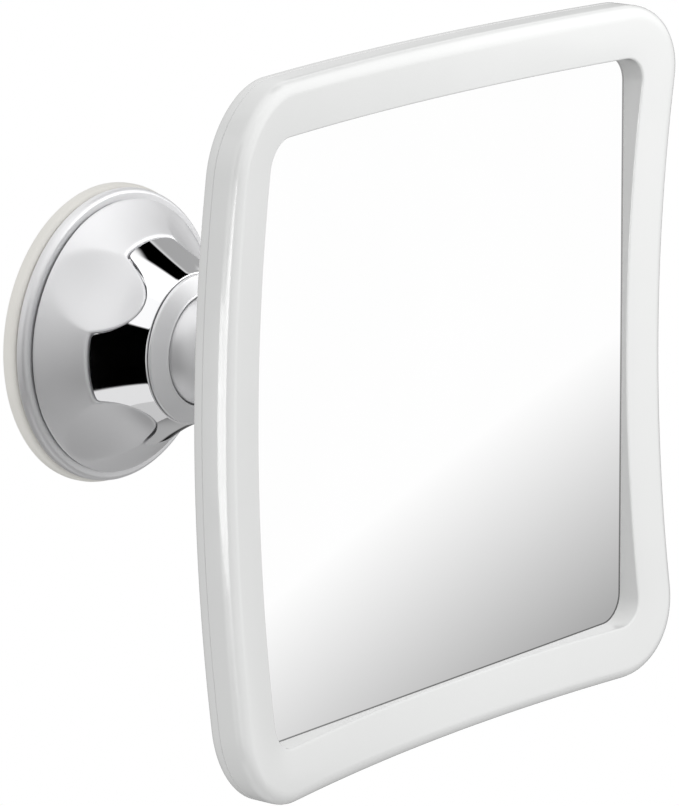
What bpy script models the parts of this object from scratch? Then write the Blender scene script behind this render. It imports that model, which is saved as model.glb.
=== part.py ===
"""Fogless shower mirror: a square dished frame on a ball joint and a twist-lock suction mount.

The wall is the plane Y = 0 and the object stands out from it along -Y. Z is up. Every turned piece
is drawn as (depth, radius), where depth is the distance from the wall and radius the distance from
the mount's axis, which is the Y axis. Pieces of the square frame are drawn as rings that follow
its rounded-square outline.
"""
import math

import bmesh
import bpy
from mathutils import Matrix, Vector

# Driving sizes, in metres
FRAME_SIZE = 0.161
FRAME_DISH = 0.0068
BACK_DISH = 0.0070
FRAME_CORNER = 0.0190
BORDER = 0.0125
OPENING_CORNER = FRAME_CORNER - BORDER
REFERENCE_DEPTH = 0.0990
BACK_OFFSET = 0.0104
WALL_THICKNESS = 0.0022
REAR_WALL = 0.0015

# Clearance between pieces that touch, and how far a cut runs past what it cuts
SEAT_GAP = 0.0003
OVERRUN = 0.0020

# Mirror plate
MIRROR_LEVEL = 0.0030
MIRROR_THICKNESS = 0.0018
MIRROR_UNDER_LIP = 0.0028

# Frame edges
FRONT_FILLET = 0.0034
LIP_FILLET = 0.0013
BACK_FILLET = 0.0016
PARTING_HEIGHT = 0.0030
LOCATING_LIP_HEIGHT = 0.0020
LOCATING_LIP_WIDTH = 0.0013
POCKET_WALL = 0.0016
POCKET_DEPTH = 0.0026

# Suction pad
PAD_RADIUS = 0.0357
PAD_RIM = 0.0033
PAD_RIM_WIDTH = 0.0070
PAD_WEB = 0.0014
PAD_CENTRE_WEB = 0.0007
PAD_EDGE = 0.0007

# Twist lock
LOCK_STROKE = 0.0020
LOCK_TURN = math.radians(90)
STUD_RADIUS = 0.0040
STUD_TOP = 0.0076
STUD_FLANGE_RADIUS = 0.0065
STUD_FLANGE = 0.0010
PIN_RADIUS = 0.00125
PIN_HALF_LENGTH = 0.0140
PIN_DEPTH = STUD_TOP - PIN_RADIUS

# Pressure cup
CUP_RADIUS = 0.0349
CUP_TOP = 0.0064
CUP_BEAD = 0.0019
CUP_BEARING_RADIUS = 0.0260
CUP_PLATE = 0.0016
CUP_PLATE_BOTTOM = 0.0038
CUP_WELL_RADIUS = 0.0166
CUP_WELL_FLOOR = 0.0019
CUP_WELL_WALL = 0.0014
CUP_WELL_WEB = 0.0013
TOWER_RADIUS = 0.0099

# Cam ring, which turns in the cup's well
CAM_INNER = TOWER_RADIUS + SEAT_GAP
CAM_RAMP_OUTER = 0.0146
CAM_WALL = 0.0016
CAM_FLANGE = 0.0028
CAM_FLANGE_CLEARANCE = 0.0005
CAM_FLANGE_RADIUS = 0.0240
CAM_FLANGE_BOTTOM = CUP_PLATE_BOTTOM + CUP_PLATE + CAM_FLANGE_CLEARANCE
CAM_BOTTOM = CUP_WELL_FLOOR + CUP_WELL_WEB + SEAT_GAP
CAM_TOP = CAM_FLANGE_BOTTOM + CAM_FLANGE
CAM_LEAD_SHARE = 1.5

# Socket, which stands on the dial's ledge, and the ball in it
DIAL_LEDGE = 0.0014
BALL_RADIUS = 0.0140
BALL_FLAT = 0.0124
SEAT_THICKNESS = 0.0009
SEAT_FRONT_ANGLE = math.radians(122)
SEAT_REAR_ANGLE = math.radians(152)
BALL_POCKET = BALL_RADIUS + SEAT_GAP + SEAT_THICKNESS + SEAT_GAP
SOCKET_BASE = CAM_TOP + SEAT_GAP + DIAL_LEDGE + SEAT_GAP
SOCKET_FOOT = 0.00075
SOCKET_FOOT_RADIUS = 0.0174
SOCKET_FLOOR = SOCKET_BASE - SOCKET_FOOT
SOCKET_WALL = 0.0010
PIVOT_DEPTH = SOCKET_FLOOR + SOCKET_WALL + BALL_POCKET
TOWER_CLEARANCE = 0.00055
TOWER_TOP = SOCKET_FLOOR - TOWER_CLEARANCE

# Twist dial
DIAL_RIM_CLEARANCE = 0.0004
DIAL_RIM = CUP_TOP + DIAL_RIM_CLEARANCE
DIAL_HEIGHT_OVER_PIVOT = 0.00255
DIAL_FRONT = PIVOT_DEPTH + DIAL_HEIGHT_OVER_PIVOT
DIAL_FRONT_RADIUS = 0.0180
DIAL_SLOPE_SHARE = 0.4264
DIAL_FLARE_CURVE = 0.0924
DIAL_WALL = 0.0020
DIAL_LEDGE_INNER = 0.0180
PETALS = 4
PETAL_HALF_ANGLE = math.radians(24.6)
PETAL_ROOT = 0.0165
PETAL_TIP = 0.0256
PETAL_WALL = 0.0016
PETAL_ROUNDNESS = 0.625
DIAL_REST_TURN = math.radians(-5.5)
DISH_CENTRE = 0.0164
DISH_REACH = 0.0092
DISH_WIDTH = 0.0106
DISH_DEPTH = 0.0024
DISH_SOFTNESS = 1.5

# Retaining collar, whose skirt screws into the socket round the ball
COLLAR_SKIRT = 0.0021
COLLAR_BORE = BALL_RADIUS + SEAT_GAP + COLLAR_SKIRT + SEAT_GAP
COLLAR_SKIRT_REACH = 0.00055
COLLAR_SKIRT_END = PIVOT_DEPTH + COLLAR_SKIRT_REACH
COLLAR_SETBACK = 0.0002
COLLAR_RADIUS = DIAL_FRONT_RADIUS - COLLAR_SETBACK
COLLAR_LIP_RADIUS = 0.0133
COLLAR_EDGE = 0.0006
COLLAR_LIP = 0.0003

# Mirror arm
SPIGOT_RADIUS = 0.0032
SPIGOT_LENGTH = 0.0070
ARM_NECK_RADIUS = 0.0055
ARM_WAIST_RADIUS = 0.0075
ARM_WAIST_DEPTH = 0.0700
ARM_FLANGE_RADIUS = 0.0165
ARM_FLANGE = 0.0048
ARM_FLARE = 0.0060
ARM_EDGE = 0.0006
ARM_WEB = 0.0030
ARM_CORE_RADIUS = 0.0031
BACK_BOSS_MARGIN = 0.0005
BACK_BOSS_RADIUS = ARM_FLANGE_RADIUS + BACK_BOSS_MARGIN

# Screws
SCREW_RADIUS = 0.0012
SCREW_HOLE_RADIUS = 0.0015
SCREW_HEAD_RADIUS = 0.0024
SCREW_HEAD = 0.0014
SCREW_CROWN_SHARE = 0.7
DOME_SCREWS = 4
DOME_SCREW_CIRCLE = 0.0205
DOME_SCREW_LENGTH = 0.0080
FLANGE_SCREWS = 3
FLANGE_SCREW_MARGIN = 0.0060
FLANGE_SCREW_CIRCLE = ARM_FLANGE_RADIUS - FLANGE_SCREW_MARGIN
FLANGE_SCREW_LENGTH = 0.0066
ARM_SCREW_LENGTH = 0.0080

# Supports behind the mirror
SUPPORT_OFFSET = 0.0440
SUPPORT_RADIUS = 0.0050
CUSHION_THICKNESS = 0.0008
CUSHION_RADIUS = 0.0045

# Facets
RIM_STEPS = 40
ROUND_STEPS = 28
SMALL_STEPS = 16
BORE_STEPS = 10
CORNER_STEPS = 5
SIDE_STEPS = 6
DIAL_ROWS = 7
PETAL_COLUMNS = 8
NOTCH_COLUMNS = 3
SOCKET_ROWS = 6
POCKET_STEPS = 6
SEAT_ROWS = 3
BALL_ROWS = 9
ARM_FLARE_STEPS = 5
BACK_ROWS = 4
FILLET_STEPS = 3


def clear_scene():
    for thing in list(bpy.data.objects):
        bpy.data.objects.remove(thing, do_unlink=True)


def material(name, colour, roughness, metallic=0.0, transmission=0.0):
    made = bpy.data.materials.new(name)
    made.use_nodes = True
    shader = made.node_tree.nodes["Principled BSDF"]
    shader.inputs["Base Color"].default_value = (*colour, 1.0)
    shader.inputs["Roughness"].default_value = roughness
    shader.inputs["Metallic"].default_value = metallic
    shader.inputs["Transmission Weight"].default_value = transmission
    return made


def make_materials():
    return {
        "satin": material("satin chrome", (0.62, 0.62, 0.63), 0.32, 1.0),
        "polish": material("polished chrome", (0.80, 0.80, 0.81), 0.06, 1.0),
        "steel": material("stainless steel", (0.55, 0.55, 0.56), 0.28, 1.0),
        "frost": material("frosted acrylic", (0.86, 0.87, 0.87), 0.22, 0.0, 0.25),
        "mirror": material("mirror", (0.90, 0.91, 0.92), 0.02, 1.0),
        "pad": material("soft pad", (0.72, 0.69, 0.63), 0.55),
        "nylon": material("white nylon", (0.78, 0.78, 0.76), 0.5),
        "foam": material("grey foam", (0.30, 0.30, 0.31), 0.9),
    }


def finish(name, mesh_data, surface, shade=35.0):
    """Turn a bmesh into a named object whose faces point out."""
    bmesh.ops.recalc_face_normals(mesh_data, faces=mesh_data.faces)
    mesh = bpy.data.meshes.new(name)
    mesh_data.to_mesh(mesh)
    mesh_data.free()
    mesh.materials.append(surface)
    mesh.shade_smooth()
    mesh.set_sharp_from_angle(angle=math.radians(shade))
    thing = bpy.data.objects.new(name, mesh)
    bpy.context.collection.objects.link(thing)
    return thing


def at(depth, radius, turn):
    """The point at a depth from the wall, a radius from the axis and a turn clockwise from the top."""
    return Vector((radius * math.sin(turn), -depth, radius * math.cos(turn)))


def turned(name, profile, surface, steps=ROUND_STEPS, shade=35.0):
    """A solid of revolution about the Y axis from (depth, radius) points."""
    data = bmesh.new()
    points = [data.verts.new(at(depth, radius, 0.0)) for depth, radius in profile]
    open_ended = profile[0][1] == 0.0 and profile[-1][1] == 0.0
    count = len(points) - 1 if open_ended else len(points)
    edges = [data.edges.new((points[i], points[(i + 1) % len(points)])) for i in range(count)]
    bmesh.ops.spin(data, geom=points + edges, cent=(0, 0, 0), axis=(0, 1, 0),
                   angle=math.tau, steps=steps, use_merge=True)
    bmesh.ops.remove_doubles(data, verts=data.verts, dist=SEAT_GAP / 100)
    return finish(name, data, surface, shade)


def rod(name, start, end, radius, surface, steps=BORE_STEPS):
    """A round rod between two points."""
    data = bmesh.new()
    way = end - start
    turn = way.to_track_quat("Z", "Y").to_matrix().to_4x4()
    place = Matrix.Translation((start + end) / 2) @ turn
    bmesh.ops.create_cone(data, cap_ends=True, segments=steps, radius1=radius, radius2=radius,
                          depth=way.length, matrix=place)
    return finish(name, data, surface)


def as_cutter(thing):
    thing.hide_render = True
    thing.display_type = "WIRE"
    return thing


def combine(body, other, operation):
    """Cut or join another solid, which stays in the file as a hidden wire guide."""
    change = body.modifiers.new(operation.lower(), "BOOLEAN")
    change.operation = operation
    change.solver = "EXACT"
    change.object = as_cutter(other)


def sphere_arc(centre, radius, first, last, steps):
    """Points (depth, radius) on a sphere about the axis; an angle of 0 points away from the wall."""
    points = []
    for step in range(steps + 1):
        angle = first + (last - first) * step / steps
        points.append((centre + radius * math.cos(angle), abs(radius * math.sin(angle))))
    return points


# Suction pad, stud and pressure cup

def suction_pad(looks):
    rim_inner = PAD_RADIUS - PAD_RIM_WIDTH
    pocket = STUD_FLANGE_RADIUS + SEAT_GAP
    profile = [
        (0.0, 0.0),
        (0.0, PAD_RADIUS - PAD_EDGE),
        (PAD_EDGE, PAD_RADIUS),
        (PAD_RIM - PAD_EDGE, PAD_RADIUS),
        (PAD_RIM, PAD_RADIUS - PAD_EDGE),
        (PAD_RIM, rim_inner),
        (PAD_WEB, rim_inner - PAD_RIM),
        (PAD_WEB, pocket),
        (PAD_CENTRE_WEB, pocket),
        (PAD_CENTRE_WEB, 0.0),
    ]
    return turned("suction_pad", profile, looks["pad"], RIM_STEPS)


def draw_stud(looks):
    flange_bottom = PAD_CENTRE_WEB + SEAT_GAP
    profile = [
        (flange_bottom, 0.0),
        (flange_bottom, STUD_FLANGE_RADIUS),
        (flange_bottom + STUD_FLANGE, STUD_FLANGE_RADIUS),
        (flange_bottom + STUD_FLANGE, STUD_RADIUS),
        (STUD_TOP, STUD_RADIUS),
        (STUD_TOP, 0.0),
    ]
    stud = turned("draw_stud", profile, looks["nylon"], SMALL_STEPS)
    reach = Vector((STUD_RADIUS + OVERRUN, 0, 0))
    centre = at(PIN_DEPTH, 0.0, 0.0)
    hole = rod("stud_cross_hole", centre - reach, centre + reach, PIN_RADIUS + SEAT_GAP, looks["nylon"])
    combine(stud, hole, "DIFFERENCE")
    half = Vector((PIN_HALF_LENGTH, 0, 0))
    pin = rod("stud_pin", centre - half, centre + half, PIN_RADIUS, looks["steel"])
    return stud, pin


def pressure_cup(looks):
    plate_top = CUP_PLATE_BOTTOM + CUP_PLATE
    well_outer = CUP_WELL_RADIUS + CUP_WELL_WALL
    rim_bottom = PAD_RIM + SEAT_GAP
    web_top = CUP_WELL_FLOOR + CUP_WELL_WEB
    stroke_room = PAD_CENTRE_WEB + SEAT_GAP + STUD_FLANGE + LOCK_STROKE + SEAT_GAP
    flange_bore = STUD_FLANGE_RADIUS + SEAT_GAP
    profile = [
        (rim_bottom, CUP_RADIUS - CUP_BEAD / 4),
        (rim_bottom + CUP_BEAD / 4, CUP_RADIUS),
        (CUP_TOP - CUP_BEAD, CUP_RADIUS),
        (CUP_TOP - CUP_BEAD / 2, CUP_RADIUS - CUP_BEAD / 6),
        (CUP_TOP, CUP_RADIUS - CUP_BEAD / 2),
        (CUP_TOP, CUP_BEARING_RADIUS),
        (plate_top, CUP_BEARING_RADIUS - CUP_PLATE),
        (plate_top, well_outer),
        (plate_top, CUP_WELL_RADIUS),
        (web_top, CUP_WELL_RADIUS),
        (web_top, TOWER_RADIUS),
        (TOWER_TOP, TOWER_RADIUS),
        (TOWER_TOP, STUD_RADIUS + SEAT_GAP),
        (stroke_room, STUD_RADIUS + SEAT_GAP),
        (stroke_room, flange_bore),
        (CUP_WELL_FLOOR, flange_bore),
        (CUP_WELL_FLOOR, well_outer),
        (CUP_PLATE_BOTTOM, well_outer),
        (CUP_PLATE_BOTTOM, CUP_BEARING_RADIUS),
        (rim_bottom, PAD_RADIUS - PAD_RIM_WIDTH),
    ]
    cup = turned("pressure_cup", profile, looks["satin"], RIM_STEPS)
    keyway = bmesh.new()
    slot_bottom = PIN_DEPTH - PIN_RADIUS - SEAT_GAP
    slot_top = TOWER_TOP + SEAT_GAP
    slot_length = (TOWER_RADIUS + OVERRUN) * 2
    size = Vector((slot_length, slot_top - slot_bottom, (PIN_RADIUS + SEAT_GAP) * 2))
    place = Matrix.Translation((0, -(slot_top + slot_bottom) / 2, 0)) @ Matrix.Diagonal((*size, 1.0))
    bmesh.ops.create_cube(keyway, size=1.0, matrix=place)
    combine(cup, finish("tower_slot", keyway, looks["satin"]), "DIFFERENCE")
    return cup


# Cam ring

def ramp_height(turn):
    """Depth of the cam's ramp at a turn from the pin's rest place; it climbs against the twist."""
    low = PIN_DEPTH - PIN_RADIUS - SEAT_GAP
    lead = math.asin(PIN_RADIUS / CAM_INNER) * CAM_LEAD_SHARE
    climb = min(max(-turn, -lead), LOCK_TURN + lead)
    return low + LOCK_STROKE * climb / LOCK_TURN


def cam_ring(looks):
    """The dial's inner ring: a flange screwed to the dome, and two ramps under the ends of the pin."""
    wall_outer = CAM_RAMP_OUTER + CAM_WALL
    data = bmesh.new()
    sections = []
    for step in range(RIM_STEPS):
        turn = math.tau * step / RIM_STEPS
        from_pin = (turn - math.pi / 2) % math.pi
        if from_pin > math.pi / 4:
            from_pin -= math.pi
        ramp = ramp_height(from_pin)
        profile = [
            (CAM_BOTTOM, CAM_INNER),
            (CAM_BOTTOM, wall_outer),
            (CAM_FLANGE_BOTTOM, wall_outer),
            (CAM_FLANGE_BOTTOM, CAM_FLANGE_RADIUS),
            (CAM_TOP, CAM_FLANGE_RADIUS),
            (CAM_TOP, CAM_RAMP_OUTER),
            (ramp, CAM_RAMP_OUTER),
            (ramp, CAM_INNER),
        ]
        sections.append([data.verts.new(at(depth, radius, turn)) for depth, radius in profile])
    for step, here in enumerate(sections):
        there = sections[(step + 1) % RIM_STEPS]
        for side in range(len(here)):
            after = (side + 1) % len(here)
            data.faces.new((here[side], here[after], there[after], there[side]))
    ring = finish("cam_ring", data, looks["nylon"])
    for number, turn in enumerate(dome_screw_turns()):
        low = at(CAM_FLANGE_BOTTOM - OVERRUN, DOME_SCREW_CIRCLE, turn)
        seat = at(dome_screw_seat(), DOME_SCREW_CIRCLE, turn)
        high = at(CAM_TOP + OVERRUN, DOME_SCREW_CIRCLE, turn)
        bore = rod("cam_bore_%d" % (number + 1), low, high, SCREW_HOLE_RADIUS, looks["nylon"])
        sink = rod("cam_sink_%d" % (number + 1), low, seat, SCREW_HEAD_RADIUS + SEAT_GAP, looks["nylon"])
        combine(ring, bore, "DIFFERENCE")
        combine(ring, sink, "DIFFERENCE")
    return ring


# Twist dial and socket

def flare(depth):
    """Radius of the dome at a depth: a cone that opens faster towards the wall."""
    back = DIAL_FRONT - depth
    return DIAL_FRONT_RADIUS + DIAL_SLOPE_SHARE * back + back * back / DIAL_FLARE_CURVE


def from_petal(turn):
    """Turn from the middle of the nearest petal."""
    spacing = math.tau / PETALS
    return (turn - DIAL_REST_TURN) % spacing - spacing / 2


def petal_edge(turn, margin=0.0):
    """Depth at which the dial ends at a turn: low in the notches, high along the petals."""
    offset = abs(from_petal(turn))
    half = PETAL_HALF_ANGLE + margin / flare(PETAL_ROOT)
    share = max(0.0, 1.0 - (offset / half) ** 2)
    return PETAL_ROOT + margin + (PETAL_TIP - PETAL_ROOT) * share ** PETAL_ROUNDNESS


def finger_dish(depth, turn):
    """How far the finger dish sinks below the dome at a point."""
    along = (depth - DISH_CENTRE) / DISH_REACH
    across = flare(depth) * from_petal(turn) / DISH_WIDTH
    inside = max(0.0, 1.0 - along * along - across * across)
    return DISH_DEPTH * inside ** DISH_SOFTNESS


def dial_outside(depth, turn):
    return flare(depth) - finger_dish(depth, turn)


def dial_inside(depth, turn):
    thin = dial_outside(depth, turn) - PETAL_WALL
    return min(thin, flare(depth) - DIAL_WALL) if depth < PETAL_ROOT else thin


def dial_turns():
    """Turns of the dial's columns, close together where a petal's edge is steep."""
    spacing = math.tau / PETALS
    notch = spacing - 2 * PETAL_HALF_ANGLE
    turns = []
    for petal in range(PETALS):
        middle = DIAL_REST_TURN + petal * spacing + spacing / 2
        for column in range(PETAL_COLUMNS + 1):
            swing = math.pi * (column / PETAL_COLUMNS - 0.5)
            turns.append(middle + PETAL_HALF_ANGLE * math.sin(swing))
        for column in range(1, NOTCH_COLUMNS):
            turns.append(middle + PETAL_HALF_ANGLE + notch * column / NOTCH_COLUMNS)
    return turns


def dome_shell(name, surface, start, outside, inside, edge):
    """A closed shell round the axis between two surfaces, from one depth up to an edge."""
    data = bmesh.new()
    columns = []
    for turn in dial_turns():
        end = edge(turn)
        depths = [start + (end - start) * row / DIAL_ROWS for row in range(DIAL_ROWS + 1)]
        outer = [data.verts.new(at(depth, outside(depth, turn), turn)) for depth in depths]
        inner = [data.verts.new(at(depth, inside(depth, turn), turn)) for depth in depths]
        columns.append(outer + inner[::-1])
    for number, here in enumerate(columns):
        there = columns[(number + 1) % len(columns)]
        for row in range(len(here)):
            after = (row + 1) % len(here)
            data.faces.new((here[row], here[after], there[after], there[row]))
    return finish(name, data, surface, 40.0)


def twist_dial(looks):
    dial = dome_shell("twist_dial", looks["satin"], DIAL_RIM, dial_outside, dial_inside, petal_edge)
    ledge_bottom = CAM_TOP + SEAT_GAP
    ledge_top = ledge_bottom + DIAL_LEDGE
    reach = flare(ledge_top) - DIAL_WALL / 2
    profile = [
        (ledge_bottom, DIAL_LEDGE_INNER),
        (ledge_bottom, reach),
        (ledge_top, reach),
        (ledge_top, DIAL_LEDGE_INNER),
    ]
    combine(dial, turned("dial_ledge", profile, looks["satin"], RIM_STEPS), "UNION")
    for number, turn in enumerate(dome_screw_turns()):
        low = at(ledge_bottom - OVERRUN, DOME_SCREW_CIRCLE, turn)
        high = at(ledge_top + OVERRUN, DOME_SCREW_CIRCLE, turn)
        bore = rod("ledge_bore_%d" % (number + 1), low, high, SCREW_HOLE_RADIUS, looks["satin"])
        combine(dial, bore, "DIFFERENCE")
    return dial


def socket_body(looks):
    height = DIAL_FRONT - SOCKET_BASE
    outer = [SOCKET_BASE + height * row / SOCKET_ROWS for row in range(SOCKET_ROWS + 1)]
    profile = [(SOCKET_FLOOR, 0.0), (SOCKET_FLOOR, SOCKET_FOOT_RADIUS), (SOCKET_BASE, SOCKET_FOOT_RADIUS)]
    profile += [(depth, flare(depth)) for depth in outer]
    bore_bottom = COLLAR_SKIRT_END - SEAT_GAP
    profile += [(DIAL_FRONT, COLLAR_BORE), (bore_bottom, COLLAR_BORE)]
    start = math.acos((bore_bottom - PIVOT_DEPTH) / BALL_POCKET)
    profile += sphere_arc(PIVOT_DEPTH, BALL_POCKET, start, math.pi, POCKET_STEPS)
    profile[-1] = (profile[-1][0], 0.0)
    socket = turned("socket_body", profile, looks["polish"], RIM_STEPS)

    def outside(depth, turn):
        return flare(depth) + DIAL_WALL

    def inside(depth, turn):
        return dial_inside(depth, turn) - SEAT_GAP

    def edge(turn):
        return petal_edge(turn, SEAT_GAP)

    room = dome_shell("petal_room", looks["polish"], SOCKET_FLOOR - OVERRUN, outside, inside, edge)
    combine(socket, room, "DIFFERENCE")
    for number, turn in enumerate(dome_screw_turns()):
        low = at(SOCKET_FLOOR - OVERRUN, DOME_SCREW_CIRCLE, turn)
        high = at(dome_screw_seat() + DOME_SCREW_LENGTH + SEAT_GAP, DOME_SCREW_CIRCLE, turn)
        bore = rod("socket_bore_%d" % (number + 1), low, high, SCREW_HOLE_RADIUS, looks["polish"])
        combine(socket, bore, "DIFFERENCE")
    return socket


def dome_screw_turns():
    """The dome's screws stand behind the notches, where the socket is thick."""
    return [DIAL_REST_TURN + math.tau * number / DOME_SCREWS for number in range(DOME_SCREWS)]


def dome_screw_seat():
    return CAM_FLANGE_BOTTOM + SCREW_HEAD + SEAT_GAP


def screw(name, seat, length, circle, turn, looks, head_up=False):
    """A pan-head screw along the axis; its head lies on the wall side unless head_up."""
    way = -1.0 if head_up else 1.0
    under = seat - way * SEAT_GAP
    profile = [
        (under - way * SCREW_HEAD, 0.0),
        (under - way * SCREW_HEAD, SCREW_HEAD_RADIUS * SCREW_CROWN_SHARE),
        (under - way * SCREW_HEAD / 2, SCREW_HEAD_RADIUS),
        (under, SCREW_HEAD_RADIUS),
        (under, SCREW_RADIUS),
        (under + way * (length - SCREW_RADIUS), SCREW_RADIUS),
        (under + way * length, 0.0),
    ]
    made = turned(name, profile, looks["steel"], BORE_STEPS)
    made.location = at(0.0, circle, turn)
    return made


def dome_screws(looks):
    made = []
    for number, turn in enumerate(dome_screw_turns()):
        name = "dome_screw_%d" % (number + 1)
        made.append(screw(name, dome_screw_seat(), DOME_SCREW_LENGTH, DOME_SCREW_CIRCLE, turn, looks))
    return made


def collar(looks):
    inner = BALL_RADIUS + SEAT_GAP
    lip_angle = math.asin(COLLAR_LIP_RADIUS / inner)
    lip_depth = PIVOT_DEPTH + inner * math.cos(lip_angle)
    back = DIAL_FRONT + SEAT_GAP
    skirt_outer = COLLAR_BORE - SEAT_GAP
    skirt_angle = math.acos((COLLAR_SKIRT_END - PIVOT_DEPTH) / inner)
    profile = [
        (COLLAR_SKIRT_END, skirt_outer),
        (back, skirt_outer),
        (back, COLLAR_RADIUS),
        (back + COLLAR_EDGE, COLLAR_RADIUS),
        (lip_depth, COLLAR_LIP_RADIUS + COLLAR_EDGE),
        (lip_depth + COLLAR_LIP, COLLAR_LIP_RADIUS + COLLAR_LIP),
    ]
    profile += sphere_arc(PIVOT_DEPTH, inner, lip_angle, skirt_angle, SEAT_ROWS)
    return turned("retaining_collar", profile, looks["satin"], RIM_STEPS)


def ball_seat(looks):
    inner = BALL_RADIUS + SEAT_GAP
    outer = inner + SEAT_THICKNESS
    profile = sphere_arc(PIVOT_DEPTH, outer, SEAT_FRONT_ANGLE, SEAT_REAR_ANGLE, SEAT_ROWS)
    profile += sphere_arc(PIVOT_DEPTH, inner, SEAT_REAR_ANGLE, SEAT_FRONT_ANGLE, SEAT_ROWS)
    return turned("ball_seat", profile, looks["nylon"])


def swivel_ball(looks):
    flat_angle = math.acos(BALL_FLAT / BALL_RADIUS)
    flat_depth = PIVOT_DEPTH + BALL_FLAT
    end = flat_depth + SPIGOT_LENGTH
    bore_end = end - ARM_SCREW_LENGTH
    profile = [(bore_end, 0.0), (bore_end, SCREW_HOLE_RADIUS), (end, SCREW_HOLE_RADIUS),
               (end, SPIGOT_RADIUS), (flat_depth, SPIGOT_RADIUS)]
    profile += sphere_arc(PIVOT_DEPTH, BALL_RADIUS, flat_angle, math.pi, BALL_ROWS)
    profile[-1] = (profile[-1][0], 0.0)
    return turned("swivel_ball", profile, looks["satin"])


# Arm and frame

def front_level(u, v):
    """Depth of the frame's dished front at a place across and up."""
    half = FRAME_SIZE / 2
    return REFERENCE_DEPTH + FRAME_DISH * (u * u + v * v) / (half * half)


def back_level(u, v):
    """Depth of the rear shell's back, flat on the boss and dished outside it."""
    half = FRAME_SIZE / 2
    out = max(0.0, u * u + v * v - BACK_BOSS_RADIUS ** 2)
    return REFERENCE_DEPTH - BACK_OFFSET + BACK_DISH * out / (half * half)


def outline(inset):
    """Points round the frame at an inset from its edge: square outside, round at the back's boss."""
    half = FRAME_SIZE / 2 - inset
    corner = FRAME_CORNER + (OPENING_CORNER - FRAME_CORNER) * min(1.0, inset / BORDER)
    straight = half - corner
    quarter = []
    for step in range(CORNER_STEPS + 1):
        angle = math.pi / 2 * step / CORNER_STEPS
        quarter.append(Vector((straight + corner * math.cos(angle), straight + corner * math.sin(angle))))
    for step in range(1, SIDE_STEPS):
        quarter.append(Vector((straight - 2 * straight * step / SIDE_STEPS, half)))
    opening = FRAME_SIZE / 2 - BORDER
    roundness = max(0.0, (opening - half) / (opening - BACK_BOSS_RADIUS))
    made = []
    for side in range(4):
        turn = Matrix.Rotation(math.pi / 2 * side, 2)
        for number, place in enumerate(quarter):
            square = turn @ place
            angle = math.pi / 4 + math.pi / 2 * (number - CORNER_STEPS / 2) / len(quarter)
            round_place = turn @ Vector((half * math.cos(angle), half * math.sin(angle)))
            made.append(square.lerp(round_place, roundness))
    return made


def ring_from_front(inset, drop):
    return [Vector((u, -(front_level(u, v) - drop), v)) for u, v in outline(inset)]


def ring_from_back(inset, rise):
    return [Vector((u, -(back_level(u, v) + rise), v)) for u, v in outline(inset)]


def ring_flat(inset, depth):
    return [Vector((u, -depth, v)) for u, v in outline(inset)]


def ring_of_rib(inset, depth):
    """A ring at a depth, or just clear of the rear shell's floor where that is nearer."""
    floor = REAR_WALL + SEAT_GAP
    return [Vector((u, -max(depth, back_level(u, v) + floor), v)) for u, v in outline(inset)]


def lofted(name, rings, surface, closed=True, shade=35.0):
    """Join rings in order, back to the first ring if closed, or with a face at each end."""
    data = bmesh.new()
    made = [[data.verts.new(point) for point in ring] for ring in rings]
    count = len(made[0])
    spans = len(made) if closed else len(made) - 1
    for number in range(spans):
        here = made[number]
        there = made[(number + 1) % len(made)]
        for step in range(count):
            after = (step + 1) % count
            data.faces.new((here[step], here[after], there[after], there[step]))
    if not closed:
        data.faces.new(made[0])
        data.faces.new(made[-1])
    return finish(name, data, surface, shade)


def fillet(radius, first, last):
    """Insets and rises round an edge: from first to last, in quarter turns."""
    made = []
    for step in range(FILLET_STEPS + 1):
        angle = math.pi / 2 * (first + (last - first) * step / FILLET_STEPS)
        made.append((radius * (1 - math.cos(angle)), radius * (1 - math.sin(angle))))
    return made


def front_frame(looks):
    parting = PARTING_HEIGHT + SEAT_GAP / 2
    mirror_front = REFERENCE_DEPTH + MIRROR_LEVEL
    lip_under = mirror_front + SEAT_GAP
    pocket = BORDER - MIRROR_UNDER_LIP - SEAT_GAP
    rib = pocket - POCKET_WALL
    rings = [ring_from_back(0.0, parting)]
    rings += [ring_from_front(inset, drop) for inset, drop in fillet(FRONT_FILLET, 0, 1)]
    rings.append(ring_from_front((FRONT_FILLET + BORDER - LIP_FILLET) / 2, 0.0))
    rings += [ring_from_front(BORDER - inset, drop) for inset, drop in fillet(LIP_FILLET, 1, 0)]
    rings.append(ring_flat(BORDER, lip_under))
    rings.append(ring_flat(pocket, lip_under))
    rings.append(ring_of_rib(pocket, lip_under - POCKET_DEPTH))
    rings.append(ring_of_rib(rib, lip_under - POCKET_DEPTH))
    rings.append(ring_from_front(rib, WALL_THICKNESS))
    rings.append(ring_from_front(FRONT_FILLET, WALL_THICKNESS))
    rings.append(ring_from_front(WALL_THICKNESS, FRONT_FILLET))
    rings.append(ring_from_back(WALL_THICKNESS, parting))
    return lofted("front_frame", rings, looks["frost"])


def support_places():
    return [Vector((side_u * SUPPORT_OFFSET, 0, side_v * SUPPORT_OFFSET))
            for side_u in (-1, 1) for side_v in (-1, 1)]


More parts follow.
